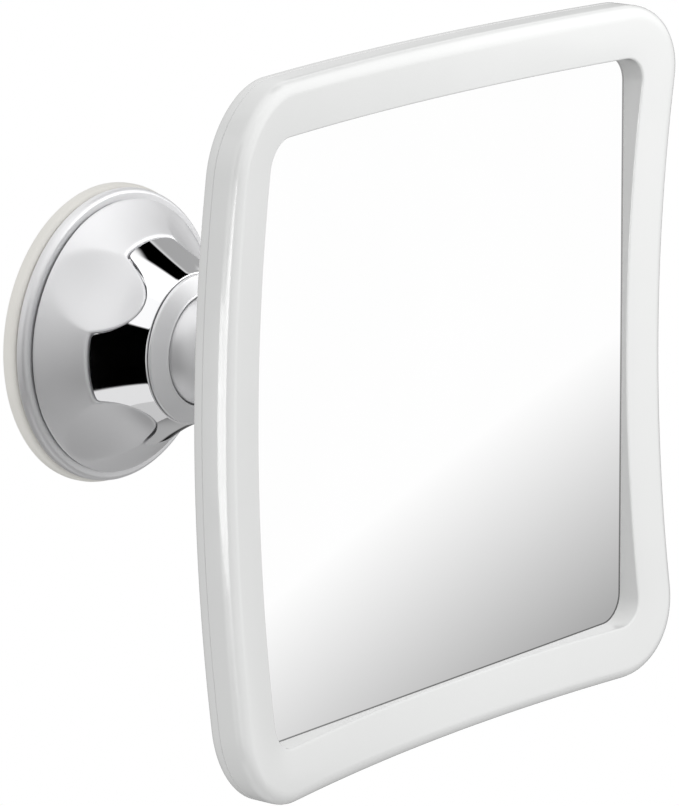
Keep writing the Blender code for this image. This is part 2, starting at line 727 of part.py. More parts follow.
def rear_shell(looks):
    parting = PARTING_HEIGHT - SEAT_GAP / 2
    lip_start = WALL_THICKNESS + SEAT_GAP
    lip_end = lip_start + LOCATING_LIP_WIDTH
    lip_top = parting + LOCATING_LIP_HEIGHT
    middle = FRAME_SIZE / 2 - BACK_BOSS_RADIUS
    insets = [middle - (middle - BORDER) * row / BACK_ROWS for row in range(BACK_ROWS + 1)]
    rings = [ring_from_back(inset, 0.0) for inset in insets]
    rings += [ring_from_back(inset, rise) for inset, rise in fillet(BACK_FILLET, 1, 0)]
    rings.append(ring_from_back(0.0, parting))
    rings.append(ring_from_back(lip_start, parting))
    rings.append(ring_from_back(lip_start, lip_top))
    rings.append(ring_from_back(lip_end, lip_top))
    rings.append(ring_from_back(lip_end, REAR_WALL))
    rings += [ring_from_back(inset, REAR_WALL) for inset in reversed(insets)]
    shell = lofted("rear_shell", rings, looks["frost"], closed=False)
    post_top = REFERENCE_DEPTH + MIRROR_LEVEL - MIRROR_THICKNESS - 2 * SEAT_GAP - CUSHION_THICKNESS
    for number, place in enumerate(support_places()):
        foot = back_level(place.x, place.z) + REAR_WALL / 2
        low = place + at(foot, 0.0, 0.0)
        high = place + at(post_top, 0.0, 0.0)
        post = rod("mirror_post_%d" % (number + 1), low, high, SUPPORT_RADIUS, looks["frost"], SMALL_STEPS)
        combine(shell, post, "UNION")
    boss = back_level(0.0, 0.0)
    for number, turn in enumerate(flange_screw_turns()):
        low = at(boss - OVERRUN, FLANGE_SCREW_CIRCLE, turn)
        high = at(flange_screw_seat() + OVERRUN, FLANGE_SCREW_CIRCLE, turn)
        bore = rod("shell_bore_%d" % (number + 1), low, high, SCREW_HOLE_RADIUS, looks["frost"])
        combine(shell, bore, "DIFFERENCE")
    return shell


def mirror_plate(looks):
    inset = BORDER - MIRROR_UNDER_LIP
    front = REFERENCE_DEPTH + MIRROR_LEVEL
    rings = [ring_flat(inset, front - MIRROR_THICKNESS), ring_flat(inset, front)]
    return lofted("mirror_plate", rings, looks["mirror"], closed=False)


def mirror_cushions(looks):
    top = REFERENCE_DEPTH + MIRROR_LEVEL - MIRROR_THICKNESS - SEAT_GAP
    made = []
    for number, place in enumerate(support_places()):
        low = place + at(top - CUSHION_THICKNESS, 0.0, 0.0)
        high = place + at(top, 0.0, 0.0)
        name = "mirror_cushion_%d" % (number + 1)
        made.append(rod(name, low, high, CUSHION_RADIUS, looks["foam"], SMALL_STEPS))
    return made


def flange_screw_turns():
    return [math.tau * number / FLANGE_SCREWS for number in range(FLANGE_SCREWS)]


def mirror_arm(looks):
    start = PIVOT_DEPTH + BALL_FLAT + SEAT_GAP
    end = back_level(0.0, 0.0) - SEAT_GAP
    spigot_end = PIVOT_DEPTH + BALL_FLAT + SPIGOT_LENGTH + SEAT_GAP
    web_end = spigot_end + ARM_WEB
    flange_back = end - ARM_FLANGE
    spigot_bore = SPIGOT_RADIUS + SEAT_GAP
    profile = [
        (start, spigot_bore),
        (start, ARM_NECK_RADIUS),
        (ARM_WAIST_DEPTH, ARM_WAIST_RADIUS),
    ]
    for step in range(1, ARM_FLARE_STEPS + 1):
        angle = math.pi / 2 * step / ARM_FLARE_STEPS
        rise = flange_back - ARM_FLARE * (1 - math.sin(angle))
        grow = ARM_WAIST_RADIUS + (ARM_FLANGE_RADIUS - ARM_WAIST_RADIUS) * (1 - math.cos(angle))
        profile.append((rise, grow))
    profile += [
        (end - ARM_EDGE, ARM_FLANGE_RADIUS),
        (end, ARM_FLANGE_RADIUS - ARM_EDGE),
        (end, ARM_CORE_RADIUS),
        (web_end, ARM_CORE_RADIUS),
        (web_end, SCREW_HOLE_RADIUS),
        (spigot_end, SCREW_HOLE_RADIUS),
        (spigot_end, spigot_bore),
    ]
    arm = turned("mirror_arm", profile, looks["satin"])
    for number, turn in enumerate(flange_screw_turns()):
        low = at(flange_screw_seat() - FLANGE_SCREW_LENGTH - 2 * SEAT_GAP, FLANGE_SCREW_CIRCLE, turn)
        high = at(end + OVERRUN, FLANGE_SCREW_CIRCLE, turn)
        bore = rod("flange_bore_%d" % (number + 1), low, high, SCREW_HOLE_RADIUS, looks["satin"])
        combine(arm, bore, "DIFFERENCE")
    return arm


def flange_screw_seat():
    return back_level(0.0, 0.0) + REAR_WALL


def flange_screws(looks):
    made = []
    for number, turn in enumerate(flange_screw_turns()):
        name = "flange_screw_%d" % (number + 1)
        made.append(screw(name, flange_screw_seat(), FLANGE_SCREW_LENGTH, FLANGE_SCREW_CIRCLE, turn,
                          looks, head_up=True))
    return made


def arm_screw(looks):
    seat = PIVOT_DEPTH + BALL_FLAT + SPIGOT_LENGTH + SEAT_GAP + ARM_WEB
    return screw("arm_screw", seat, ARM_SCREW_LENGTH, 0.0, 0.0, looks, head_up=True)


def empty(name, place, parent=None):
    made = bpy.data.objects.new(name, None)
    bpy.context.collection.objects.link(made)
    made.parent = parent
    made.location = place if parent is None else place - parent.matrix_world.translation
    bpy.context.view_layer.update()
    return made


def hang(things, parent):
    """Give pieces a parent on their joint without moving them."""
    for thing in things:
        thing.parent = parent
        thing.matrix_parent_inverse = parent.matrix_world.inverted()


def main():
    clear_scene()
    looks = make_materials()
    pad = suction_pad(looks)
    cup = pressure_cup(looks)
    stud, pin = draw_stud(looks)
    dome = [twist_dial(looks), cam_ring(looks), socket_body(looks), collar(looks)] + dome_screws(looks)
    seat = ball_seat(looks)
    ball = swivel_ball(looks)
    head = [mirror_arm(looks), arm_screw(looks), rear_shell(looks), front_frame(looks), mirror_plate(looks)]
    head += flange_screws(looks) + mirror_cushions(looks)

    pivot = at(PIVOT_DEPTH, 0.0, 0.0)
    wall = empty("wall_mount", Vector((0, 0, 0)))
    draw = empty("stud_draw", at(PIN_DEPTH, 0.0, 0.0), wall)
    twist = empty("dial_twist", at(DIAL_RIM, 0.0, 0.0), wall)
    pan = empty("head_pan", pivot, twist)
    tilt = empty("head_tilt", pivot, pan)
    spin = empty("head_spin", pivot, tilt)
    hang([pad, cup], wall)
    hang([stud, pin], draw)
    hang(dome, twist)
    hang([seat], pan)
    hang([ball], tilt)
    hang(head, spin)


main()
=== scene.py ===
# %% [markdown]
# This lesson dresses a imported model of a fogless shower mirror: a square mirror in a dished frame of
# frosted acrylic, on a ball joint and a suction mount that locks with a twist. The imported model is
# the frame of the lesson. It has every piece at its real size, but with few facets, and chrome and
# acrylic show every facet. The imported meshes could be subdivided, but that only copies the facets.
# So each piece that shows is drawn again here with a fine mesh on the same sizes, and the small
# inner pieces keep their mesh and get a finish.

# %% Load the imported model
import math

import bmesh
import bpy
from mathutils import Matrix, Vector


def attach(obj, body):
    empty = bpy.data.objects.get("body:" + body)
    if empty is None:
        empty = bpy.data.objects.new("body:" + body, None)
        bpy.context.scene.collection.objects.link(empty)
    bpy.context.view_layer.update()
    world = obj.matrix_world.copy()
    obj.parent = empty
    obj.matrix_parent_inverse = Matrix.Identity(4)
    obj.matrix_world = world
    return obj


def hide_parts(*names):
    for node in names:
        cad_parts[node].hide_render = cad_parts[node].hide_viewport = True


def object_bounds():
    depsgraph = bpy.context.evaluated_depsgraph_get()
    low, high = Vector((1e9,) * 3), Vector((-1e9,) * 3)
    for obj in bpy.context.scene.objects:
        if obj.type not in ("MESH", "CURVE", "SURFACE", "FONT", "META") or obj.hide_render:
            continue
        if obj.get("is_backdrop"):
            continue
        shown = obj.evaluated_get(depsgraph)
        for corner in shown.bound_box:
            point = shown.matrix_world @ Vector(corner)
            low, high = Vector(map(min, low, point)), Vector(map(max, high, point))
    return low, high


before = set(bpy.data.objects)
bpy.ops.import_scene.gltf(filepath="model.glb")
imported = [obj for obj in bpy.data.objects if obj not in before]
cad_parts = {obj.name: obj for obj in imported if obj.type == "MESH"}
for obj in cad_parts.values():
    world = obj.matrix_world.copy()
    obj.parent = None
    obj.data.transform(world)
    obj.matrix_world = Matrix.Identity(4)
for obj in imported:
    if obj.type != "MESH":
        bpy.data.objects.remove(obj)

cad_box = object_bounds()
print("pieces in the packed model:", len(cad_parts))
print("box in metres:", cad_box)

# %% [markdown]
# The wall is the plane Y = 0, and the object stands out from it along -Y. Turned pieces are easiest
# to think of as a drawing: how deep a point lies in front of the wall, and how far from the axis.
# A turn of zero points up, and turns grow clockwise for someone who looks at the mount. Points could
# be typed as X, Y and Z, but depth and radius are what a maker reads off a turned piece.

# %% Places round the mount's axis
SHARP = 0.0


def at(depth, radius, turn):
    """The point at a depth from the wall, a radius from the axis and a turn from the top."""
    return Vector((radius * math.sin(turn), -depth, radius * math.cos(turn)))


def arc(centre, radius, first, last, steps):
    """Points (depth, radius, rounding) on a sphere about the axis; an angle of zero points forward."""
    points = []
    for step in range(steps + 1):
        angle = first + (last - first) * step / steps
        points.append((centre + radius * math.cos(angle), abs(radius * math.sin(angle)), SHARP))
    return points


print("on the wall, 30 mm above the axis:", at(0.0, 0.030, 0.0))

# %% [markdown]
# Most pieces of the mount are round about one axis. They could be stacked from cylinders and cones
# and bevelled afterwards, but then every edge would have to be found again. Here a drawing becomes a
# wire: one vertex for each point, joined in order. Bevel with affect set to VERTICES rounds a corner
# of the wire, as a file rounds an edge, and spin turns the wire into a solid.

# %% Draw a wire and spin it
TURN_STEPS = 144
ROUND_SEGMENTS = 4


def wire(points, closed=True):
    """A wire through (depth, radius, rounding) points."""
    shape = bmesh.new()
    corners = [shape.verts.new(at(depth, radius, 0.0)) for depth, radius, _ in points]
    pairs = list(zip(corners, corners[1:]))
    if closed:
        pairs.append((corners[-1], corners[0]))
    for pair in pairs:
        shape.edges.new(pair)
    for corner, (_, _, rounding) in zip(corners, points):
        if rounding:
            bmesh.ops.bevel(shape, geom=[corner], offset=rounding, offset_type="OFFSET",
                            segments=ROUND_SEGMENTS, profile=0.5, affect="VERTICES", material=-1,
                            clamp_overlap=True)
    return shape


def turned(points, closed=True, steps=TURN_STEPS):
    """A solid of revolution about the mount's axis."""
    shape = wire(points, closed)
    bmesh.ops.spin(shape, geom=shape.verts[:] + shape.edges[:], cent=(0, 0, 0), axis=(0, 1, 0),
                   angle=math.tau, steps=steps, use_merge=True)
    return shape


print("columns round a turned piece:", TURN_STEPS)

# %% [markdown]
# Each point of a drawing carries the size of its own rounding, and a sharp point carries zero. The
# sizes could differ from edge to edge, but a workshop breaks its edges with a few tools. So most
# roundings are one of five, from an edge just broken with a stone to one that feels round.

# %% Sizes of a rounding
MILLIMETRES = 1000
HAIR_EDGE = 0.0001
KEEN_EDGE = 0.0002
FINE_EDGE = 0.0003
SOFT_EDGE = 0.0004
FULL_EDGE = 0.0006
print("roundings in mm:", [round(MILLIMETRES * size, 1) for size in (HAIR_EDGE, FULL_EDGE)])

# %% [markdown]
# Every piece ends the same way. Doubled points are merged, faces are turned out, and the mesh is shaded
# smooth up to a crease. Modifiers could do this too, but a mesh that needs none is easier to use again.
# Then the piece is hung on the body that carries it, gets the slot of its material, and hides the
# imported pieces that it stands for. A closed shape has no open edges, so they are counted.

# %% Close a shape and hang it on its body
WELD = 0.00002
CREASE_ANGLE = math.radians(38.0)


def finished(name, shape, surface, body, stands_for):
    """Close a shape, turn its faces out, and hang it on the body that carries it."""
    bmesh.ops.remove_doubles(shape, verts=shape.verts, dist=WELD)
    bmesh.ops.dissolve_degenerate(shape, edges=shape.edges, dist=WELD / 10)
    bmesh.ops.recalc_face_normals(shape, faces=shape.faces)
    open_edges = sum(1 for edge in shape.edges if len(edge.link_faces) != 2)
    mesh = bpy.data.meshes.new(name)
    shape.to_mesh(mesh)
    shape.free()
    mesh.materials.append(surface)
    mesh.shade_smooth()
    mesh.set_sharp_from_angle(angle=CREASE_ANGLE)
    piece = bpy.data.objects.new(name, mesh)
    bpy.context.collection.objects.link(piece)
    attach(piece, body)
    for node in stands_for:
        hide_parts(node)
    print(name, "faces:", len(mesh.polygons), "open edges:", open_edges)
    return piece


print("a crease is an angle over", round(math.degrees(CREASE_ANGLE)), "degrees")


# %% [markdown]
# Finishes are node trees. They could be wired by hand in the Shader Editor, or node by node in code,
# which is long to read. Two small classes let a tree read like arithmetic. The first, Wire, wraps one
# output socket, and plus, minus and times on it add Math nodes.

# %% Arithmetic on a wire
class Wire:
    """One output of a node tree, on which arithmetic adds Math nodes."""

    def __init__(self, finish, socket):
        self.finish = finish
        self.socket = socket

    def other(self, name):
        """Another output of the same node."""
        return Wire(self.finish, self.socket.node.outputs[name])

    def maths(self, operation, *values):
        sockets = dict(enumerate(values))
        return self.finish.add("ShaderNodeMath", {"operation": operation}, sockets)

    def __add__(self, other):
        return self.maths("ADD", self, other)

    def __radd__(self, other):
        return self.maths("ADD", other, self)

    def __sub__(self, other):
        return self.maths("SUBTRACT", self, other)

    def __rsub__(self, other):
        return self.maths("SUBTRACT", other, self)

    def __mul__(self, other):
        return self.maths("MULTIPLY", self, other)

    def __rmul__(self, other):
        return self.maths("MULTIPLY", other, self)

    def largest(self, other):
        return self.maths("MAXIMUM", self, other)

    def smallest(self, other):
        return self.maths("MINIMUM", self, other)

    def size(self):
        return self.maths("ABSOLUTE", self)

    def ramp(self, low, high, first=0.0, last=1.0):
        """Goes smoothly from first to last while the value goes from low to high."""
        sockets = {"Value": self, "From Min": low, "From Max": high, "To Min": first, "To Max": last}
        return self.finish.add("ShaderNodeMapRange", {"interpolation_type": "SMOOTHSTEP"}, sockets)


# %% [markdown]
# The second class, Finish, wraps a tree. Its add method makes every node, and the short methods under
# it call add. They hold what most finishes need: a mix, the place on the piece, clouds of noise and
# a bump.

# %% The tree of a finish
class Finish:
    """A node tree and the ways to add to it."""

    def __init__(self, tree):
        self.tree = tree

    def add(self, kind, settings=None, sockets=None, output=0):
        made = self.tree.nodes.new(kind)
        for key, value in (settings or {}).items():
            setattr(made, key, value)
        for key, value in (sockets or {}).items():
            if isinstance(value, Wire):
                self.tree.links.new(value.socket, made.inputs[key])
            else:
                made.inputs[key].default_value = value
        return Wire(self, made.outputs[output])

    def between(self, share, first, second):
        """A value between two values."""
        return self.add("ShaderNodeMix", {"data_type": "FLOAT"}, {0: share, 2: first, 3: second})

    def mixed(self, share, first, second):
        """A colour between two colours."""
        settings = {"data_type": "RGBA", "clamp_factor": True}
        return self.add("ShaderNodeMix", settings, {0: share, 6: first, 7: second}, output=2)

    def place(self):
        """The place on the piece, in metres."""
        return self.add("ShaderNodeTexCoord", {}, {}, output=3)

    def clouds(self, size, detail=3.0, roughness=0.5):
        """Soft noise whose lumps are about size across."""
        sockets = {"Vector": self.place(), "Scale": 1.0 / size, "Detail": detail, "Roughness": roughness}
        return self.add("ShaderNodeTexNoise", {}, sockets)

    def bump(self, height, distance, strength=1.0):
        sockets = {"Height": height, "Distance": distance, "Strength": strength}
        return self.add("ShaderNodeBump", {}, sockets)


# %% [markdown]
# Each material has one Principled shader. What is the same all over a piece is set once on the
# shader, and what varies is wired to it. Every material could be set up on its own, but one helper
# keeps them alike.

# %% A material from a finish
def surface_finish(name, constants, varied):
    """A material with one Principled shader; varied(finish) gives the sockets that change."""
    material = bpy.data.materials.new(name)
    material.use_nodes = True
    finish = Finish(material.node_tree)
    shader = material.node_tree.nodes["Principled BSDF"]
    for socket, value in constants.items():
        shader.inputs[socket].default_value = value
    for socket, value in varied(finish).items():
        if isinstance(value, Wire):
            material.node_tree.links.new(value.socket, shader.inputs[socket])
        else:
            shader.inputs[socket].default_value = value
    print("finish:", name, "nodes:", len(material.node_tree.nodes))
    return material


# %% [markdown]
# Frosted acrylic is a clear plastic with a milky body and a polished skin. It could be given
# transmission or subsurface light, at the cost of grain in the picture. Hardly anything shows
# through the real border, so here the milk is a pale base colour and the skin a thin clear coat. The
# moulding is never quite even: the milk has slow clouds, and the skin faint ripples and wiping marks.

# %% Frosted acrylic
def frosted_varied(finish):
    milk = finish.clouds(0.045, 2.0)
    wiped = finish.clouds(0.012, 4.0, 0.6)
    ripple = finish.clouds(0.020, 1.0)
    return {
        "Base Color": finish.mixed(milk, (0.725, 0.73, 0.725, 1.0), (0.79, 0.795, 0.79, 1.0)),
        "Roughness": wiped.ramp(0.3, 0.7, 0.16, 0.26),
        "Normal": finish.bump(ripple, 0.0002, 0.25),
    }


frosted_acrylic = surface_finish(
    "frosted acrylic",
    {"IOR": 1.49, "Coat Weight": 0.5, "Coat Roughness": 0.05},
    frosted_varied,
)

# %% [markdown]
# Satin chrome is plating over a finely blasted surface. It mirrors the room, but so blurred that only
# soft shades are left. The grains could be in the mesh, but they are far smaller than its facets. So
# fine noise in the bump gives the grain, the roughness gives the blur, and slow noise in the
# roughness stands for handling.

# %% Satin chrome
def satin_varied(finish):
    handled = finish.clouds(0.015, 3.0, 0.6)
    grain = finish.clouds(0.0004, 2.0)
    return {
        "Base Color": finish.mixed(handled, (0.84, 0.84, 0.85, 1.0), (0.88, 0.88, 0.89, 1.0)),
        "Roughness": handled.ramp(0.2, 0.8, 0.47, 0.54),
        "Normal": finish.bump(grain, 0.00002, 0.15),
    }


satin_chrome = surface_finish("satin chrome", {"Metallic": 1.0}, satin_varied)

# %% [markdown]
# Polished chrome is the same plating over a smooth surface, so it mirrors the room sharply. It could
# be a perfect mirror, but then its curves would look computed. A slow, faint drift in the bump bends
# the reflections a little, as plating does.

# %% Polished chrome
def polished_varied(finish):
    drift = finish.clouds(0.010, 2.0)
    return {
        "Base Color": finish.mixed(drift, (0.90, 0.90, 0.91, 1.0), (0.94, 0.94, 0.95, 1.0)),
        "Roughness": drift.ramp(0.3, 0.7, 0.02, 0.05),
        "Normal": finish.bump(drift, 0.00004, 0.2),
    }


polished_chrome = surface_finish("polished chrome", {"Metallic": 1.0}, polished_varied)

# %% [markdown]
# The pad is a soft clear plastic that looks cream where it is thick. It could be made to let light
# through, but on a wall it never shows more than its rim. So it has the cream colour that the rim
# has, with slow changes in it and a little dust in the gloss.

# %% Soft pad
def pad_varied(finish):
    cream = finish.clouds(0.008, 2.0)
    dust = finish.clouds(0.0015, 3.0)
    return {
        "Base Color": finish.mixed(cream, (0.80, 0.785, 0.745, 1.0), (0.86, 0.845, 0.80, 1.0)),
        "Roughness": dust.ramp(0.3, 0.7, 0.32, 0.48),
        "Normal": finish.bump(dust, 0.00003, 0.2),
    }


soft_pad = surface_finish("soft pad", {"IOR": 1.43}, pad_varied)

# %% [markdown]
# Nylon, steel and foam are only met inside the mount and the frame: the cam, the stud and the seat
# are white nylon, the screws and the pin are stainless steel, and the cushions are closed-cell foam.
# All could share one grey, but a part that is taken apart should show what it is made of, and a
# finish that fits costs a few lines.

# %% Nylon, steel and foam
def nylon_varied(finish):
    flow = finish.clouds(0.004, 3.0)
    return {
        "Base Color": finish.mixed(flow, (0.72, 0.72, 0.69, 1.0), (0.80, 0.80, 0.77, 1.0)),
        "Roughness": flow.ramp(0.3, 0.7, 0.42, 0.56),
        "Normal": finish.bump(flow, 0.00005, 0.2),
    }


def steel_varied(finish):
    rings = finish.clouds(0.0006, 2.0)
    return {
        "Base Color": finish.mixed(rings, (0.50, 0.50, 0.51, 1.0), (0.62, 0.62, 0.62, 1.0)),
        "Roughness": rings.ramp(0.3, 0.7, 0.22, 0.36),
        "Normal": finish.bump(rings, 0.00002, 0.3),
    }


def foam_varied(finish):
    cells = finish.clouds(0.0005, 4.0, 0.7)
    return {
        "Base Color": finish.mixed(cells, (0.10, 0.10, 0.11, 1.0), (0.20, 0.20, 0.21, 1.0)),
        "Roughness": cells.ramp(0.2, 0.8, 0.85, 0.98),
        "Normal": finish.bump(cells, 0.0002, 0.6),
    }


nylon = surface_finish("white nylon", {}, nylon_varied)
steel = surface_finish("stainless steel", {"Metallic": 1.0}, steel_varied)
foam = surface_finish("closed-cell foam", {}, foam_varied)

# %% [markdown]
# The inner pieces could be drawn again as the outer ones are, but a whole mirror hides them. So they
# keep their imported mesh, and only their material slot is changed.

# %% Give the inner pieces their finish
INNER_FINISHES = {
    "draw_stud": nylon,
    "cam_ring": nylon,
    "ball_seat": nylon,
    "stud_pin": steel,
    "arm_screw": steel,
    "dome_screw": steel,
    "flange_screw": steel,
    "mirror_cushion": foam,
}
for node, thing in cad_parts.items():
    for start, surface in INNER_FINISHES.items():
        if node.startswith(start):
            thing.material_slots[0].material = surface
            print(node, "is", surface.name)

# %% [markdown]
# The suction pad is moulded soft, with a full round rim and a thin web in the middle that the stud
# pulls on. It could be a cylinder with bevelled edges, but the web and its slope are part of the
# section, so it is drawn and spun.

# %% Suction pad
PAD_RADIUS = 0.0357
PAD_RIM = 0.0033
PAD_RIM_INNER = 0.0287
PAD_WEB = 0.0014
PAD_CENTRE_WEB = 0.0007
PAD_FOOT_ROUND = 0.0009
PAD_RIM_ROUND = 0.0012
STUD_POCKET = 0.0068

pad_drawing = [
    (0.0, 0.0, SHARP),
    (0.0, PAD_RADIUS, PAD_FOOT_ROUND),
    (PAD_RIM, PAD_RADIUS, PAD_RIM_ROUND),
    (PAD_RIM, PAD_RIM_INNER, SOFT_EDGE),
    (PAD_WEB, PAD_RIM_INNER - PAD_RIM, FULL_EDGE),
    (PAD_WEB, STUD_POCKET, FINE_EDGE),
    (PAD_CENTRE_WEB, STUD_POCKET, KEEN_EDGE),
    (PAD_CENTRE_WEB, 0.0, SHARP),
]
finished("soft_suction_pad", turned(pad_drawing, closed=False), soft_pad, "wall_base",
         ["suction_pad"])

# %% [markdown]
# The pressure cup stands on the pad: a chrome ring with a round bead at its edge, a thin groove, and
# the bearing face under the dial. The bead could be a torus laid on a ring, but where two meshes meet
# chrome shows a seam. In one drawing the bead, the groove and the face run into each other.
# Neighbours keep a small gap between them, here and in every piece that follows.

# %% Pressure cup
GAP = 0.0003
CUP_RADIUS = 0.0349
CUP_TOP = 0.0064
CUP_BEAD = 0.0019
CUP_BEAD_ROUND = 0.0009
CUP_GROOVE_ROUND = 0.0005
CUP_BEARING_RADIUS = 0.0260
CUP_PLATE_BOTTOM = 0.0038
CUP_PLATE_TOP = 0.0054
CUP_WELL_RADIUS = 0.0166
CUP_WELL_OUTER = 0.0180
CUP_WELL_FLOOR = 0.0019
CUP_WEB_TOP = 0.0032
TOWER_RADIUS = 0.0099
TOWER_TOP = 0.0094
STUD_BORE = 0.0043
STROKE_ROOM = 0.0043

cup_drawing = [
    (PAD_RIM + GAP, CUP_RADIUS, FULL_EDGE),
    (CUP_TOP - CUP_BEAD / 4, CUP_RADIUS, CUP_BEAD_ROUND),
    (CUP_TOP, CUP_RADIUS - CUP_BEAD / 2, CUP_GROOVE_ROUND),
    (CUP_TOP, CUP_BEARING_RADIUS, FINE_EDGE),
    (CUP_PLATE_TOP, CUP_BEARING_RADIUS - CUP_BEAD, FINE_EDGE),
    (CUP_PLATE_TOP, CUP_WELL_RADIUS, FINE_EDGE),
    (CUP_WEB_TOP, CUP_WELL_RADIUS, KEEN_EDGE),
    (CUP_WEB_TOP, TOWER_RADIUS, KEEN_EDGE),
    (TOWER_TOP, TOWER_RADIUS, FINE_EDGE),
    (TOWER_TOP, STUD_BORE, KEEN_EDGE),
    (STROKE_ROOM, STUD_BORE, SHARP),
    (STROKE_ROOM, STUD_POCKET, SHARP),
    (CUP_WELL_FLOOR, STUD_POCKET, SHARP),
    (CUP_WELL_FLOOR, CUP_WELL_OUTER, FINE_EDGE),
    (CUP_PLATE_BOTTOM, CUP_WELL_OUTER, FINE_EDGE),
    (CUP_PLATE_BOTTOM, CUP_BEARING_RADIUS, SHARP),
    (PAD_RIM + GAP, PAD_RIM_INNER, SHARP),
]
finished("chrome_cup", turned(cup_drawing), satin_chrome, "wall_base",
         ["pressure_cup"])

# %% [markdown]
# The twist dial is a dome with four petals, and each petal has a shallow dish for a finger. It could
# be cut from a dome with booleans, but they leave slivers along the petals, and chrome shows them.
# So its form is written as three measures that need no cutting: the flare of the dome, the edge of
# the petals, and the depth of the dish. The flare is a straight slope with a little curve in it.

# %% The dome's flare
DIAL_RIM = 0.0068
DIAL_FRONT = 0.0290
DIAL_FRONT_RADIUS = 0.0180
DIAL_SLOPE_SHARE = 0.4264
DIAL_FLARE_CURVE = 0.0924


def flare(depth):
    """Radius of the dome at a depth."""
    back = DIAL_FRONT - depth
    return DIAL_FRONT_RADIUS + DIAL_SLOPE_SHARE * back + back * back / DIAL_FLARE_CURVE


print("dome across at the rim in mm:", round(2 * MILLIMETRES * flare(DIAL_RIM), 1))

# %% [markdown]
# The petal's edge rises from the root between two petals to the tip. It could be traced by hand, but
# one power curve with a softened foot follows the photograph, and the same curve, moved out by the
# gap, gives the socket its edge.

# %% The petals' edge
PETALS = 4
PETAL_SPACING = math.tau / PETALS
PETAL_HALF_ANGLE = math.radians(24.6)
PETAL_ROOT = 0.0165
PETAL_TIP = 0.0256
PETAL_POWER = 0.625
PETAL_CORNER_SHARE = 0.05
DIAL_REST_TURN = math.radians(-5.5)


def from_petal(turn):
    """Turn from the middle of the nearest petal."""
    return (turn - DIAL_REST_TURN) % PETAL_SPACING - PETAL_SPACING / 2


def petal_edge(turn, margin=0.0):
    """Depth at which the dial ends at a turn; a margin moves the edge outwards all round."""
    half = PETAL_HALF_ANGLE + margin / flare(PETAL_ROOT)
    share = 1.0 - (from_petal(turn) / half) ** 2
    softened = (share + math.sqrt(share * share + PETAL_CORNER_SHARE ** 2)) / 2
    return PETAL_ROOT + margin + (PETAL_TIP - PETAL_ROOT) * softened ** PETAL_POWER


print("a petal is wide in degrees:", round(math.degrees(2 * PETAL_HALF_ANGLE), 1))

# %% [markdown]
# The finger dish is pressed into each petal. It could be a ball cut out of the dome, but that leaves a
# hard rim. A power just over one lets the dish run out softly, with the faint edge that shows in the
# photograph.

# %% The finger dish
DISH_CENTRE = 0.0164
DISH_REACH = 0.0092
DISH_WIDTH = 0.0106
DISH_DEPTH = 0.0024
DISH_POWER = 1.1


def finger_dish(depth, turn):
    """How far the finger dish sinks below the dome."""
    along = (depth - DISH_CENTRE) / DISH_REACH
    across = flare(depth) * from_petal(turn) / DISH_WIDTH
    inside = max(0.0, 1.0 - along * along - across * across)
    return DISH_DEPTH * inside ** DISH_POWER


def dial_outside(depth, turn):
    return flare(depth) - finger_dish(depth, turn)


print("finger dish deep in mm:", round(MILLIMETRES * DISH_DEPTH, 1))

# %% [markdown]
# The dial itself starts as a straight tube with rounded rims, made by a spin, and then each vertex is
# moved. A Lattice or a Simple Deform modifier could bend a tube too, but neither can follow the
# petals. The columns of the tube first crowd together where a petal's flank is steep, so that the
# edge stays smooth there.

# %% Crowd the columns and bend a shape
FLANK_SHARE = 0.62


def crowded(turn):
    """Move a turn so that columns crowd together at the flanks of the petals."""
    offset = from_petal(turn)
    share = abs(offset) / (PETAL_SPACING / 2)
    quarter = math.pi / 2
    if share < FLANK_SHARE:
        moved = PETAL_HALF_ANGLE * math.sin(quarter * share / FLANK_SHARE)
    else:
        beyond = (share - FLANK_SHARE) / (1.0 - FLANK_SHARE)
        notch = PETAL_SPACING / 2 - PETAL_HALF_ANGLE
        moved = PETAL_HALF_ANGLE + notch * (1 - math.cos(quarter * beyond))
    return turn + math.copysign(moved, offset) - offset


def bend(shape, placed):
    """Move every vertex to at(*placed(depth, radius, turn))."""
    for vertex in shape.verts:
        radius = math.hypot(vertex.co.x, vertex.co.z)
        turn = math.atan2(vertex.co.x, vertex.co.z)
        vertex.co = at(*placed(-vertex.co.y, radius, turn))


print("share of the columns that lie on the petals:", FLANK_SHARE)

# %% [markdown]
# A vertex's height goes to a share of the way up to the petal's edge at its turn, and its radius goes
# to the dome's flare, less the finger dish. The last half millimetre keeps its own height, so that
# the rounding of the rim isn't stretched.

# %% Twist dial
DIAL_WALL = 0.0017
DIAL_STEPS = 240
DIAL_ROWS = 26
EDGE_ROUND = 0.0005
TUBE_HEIGHT = 0.0200


def dial_place(depth, radius, turn):
    turn = crowded(turn)
    below = TUBE_HEIGHT - depth
    if below < EDGE_ROUND:
        depth = petal_edge(turn, -below)
    else:
        share = depth / (TUBE_HEIGHT - EDGE_ROUND)
        depth = DIAL_RIM + share * (petal_edge(turn, -EDGE_ROUND) - DIAL_RIM)
    return depth, dial_outside(depth, turn) - (DIAL_FRONT_RADIUS - radius), turn


def rows(first, last, radius, count):
    """Points in a straight line along the depth, between first and last but without them."""
    return [(first + (last - first) * row / count, radius, SHARP) for row in range(1, count)]


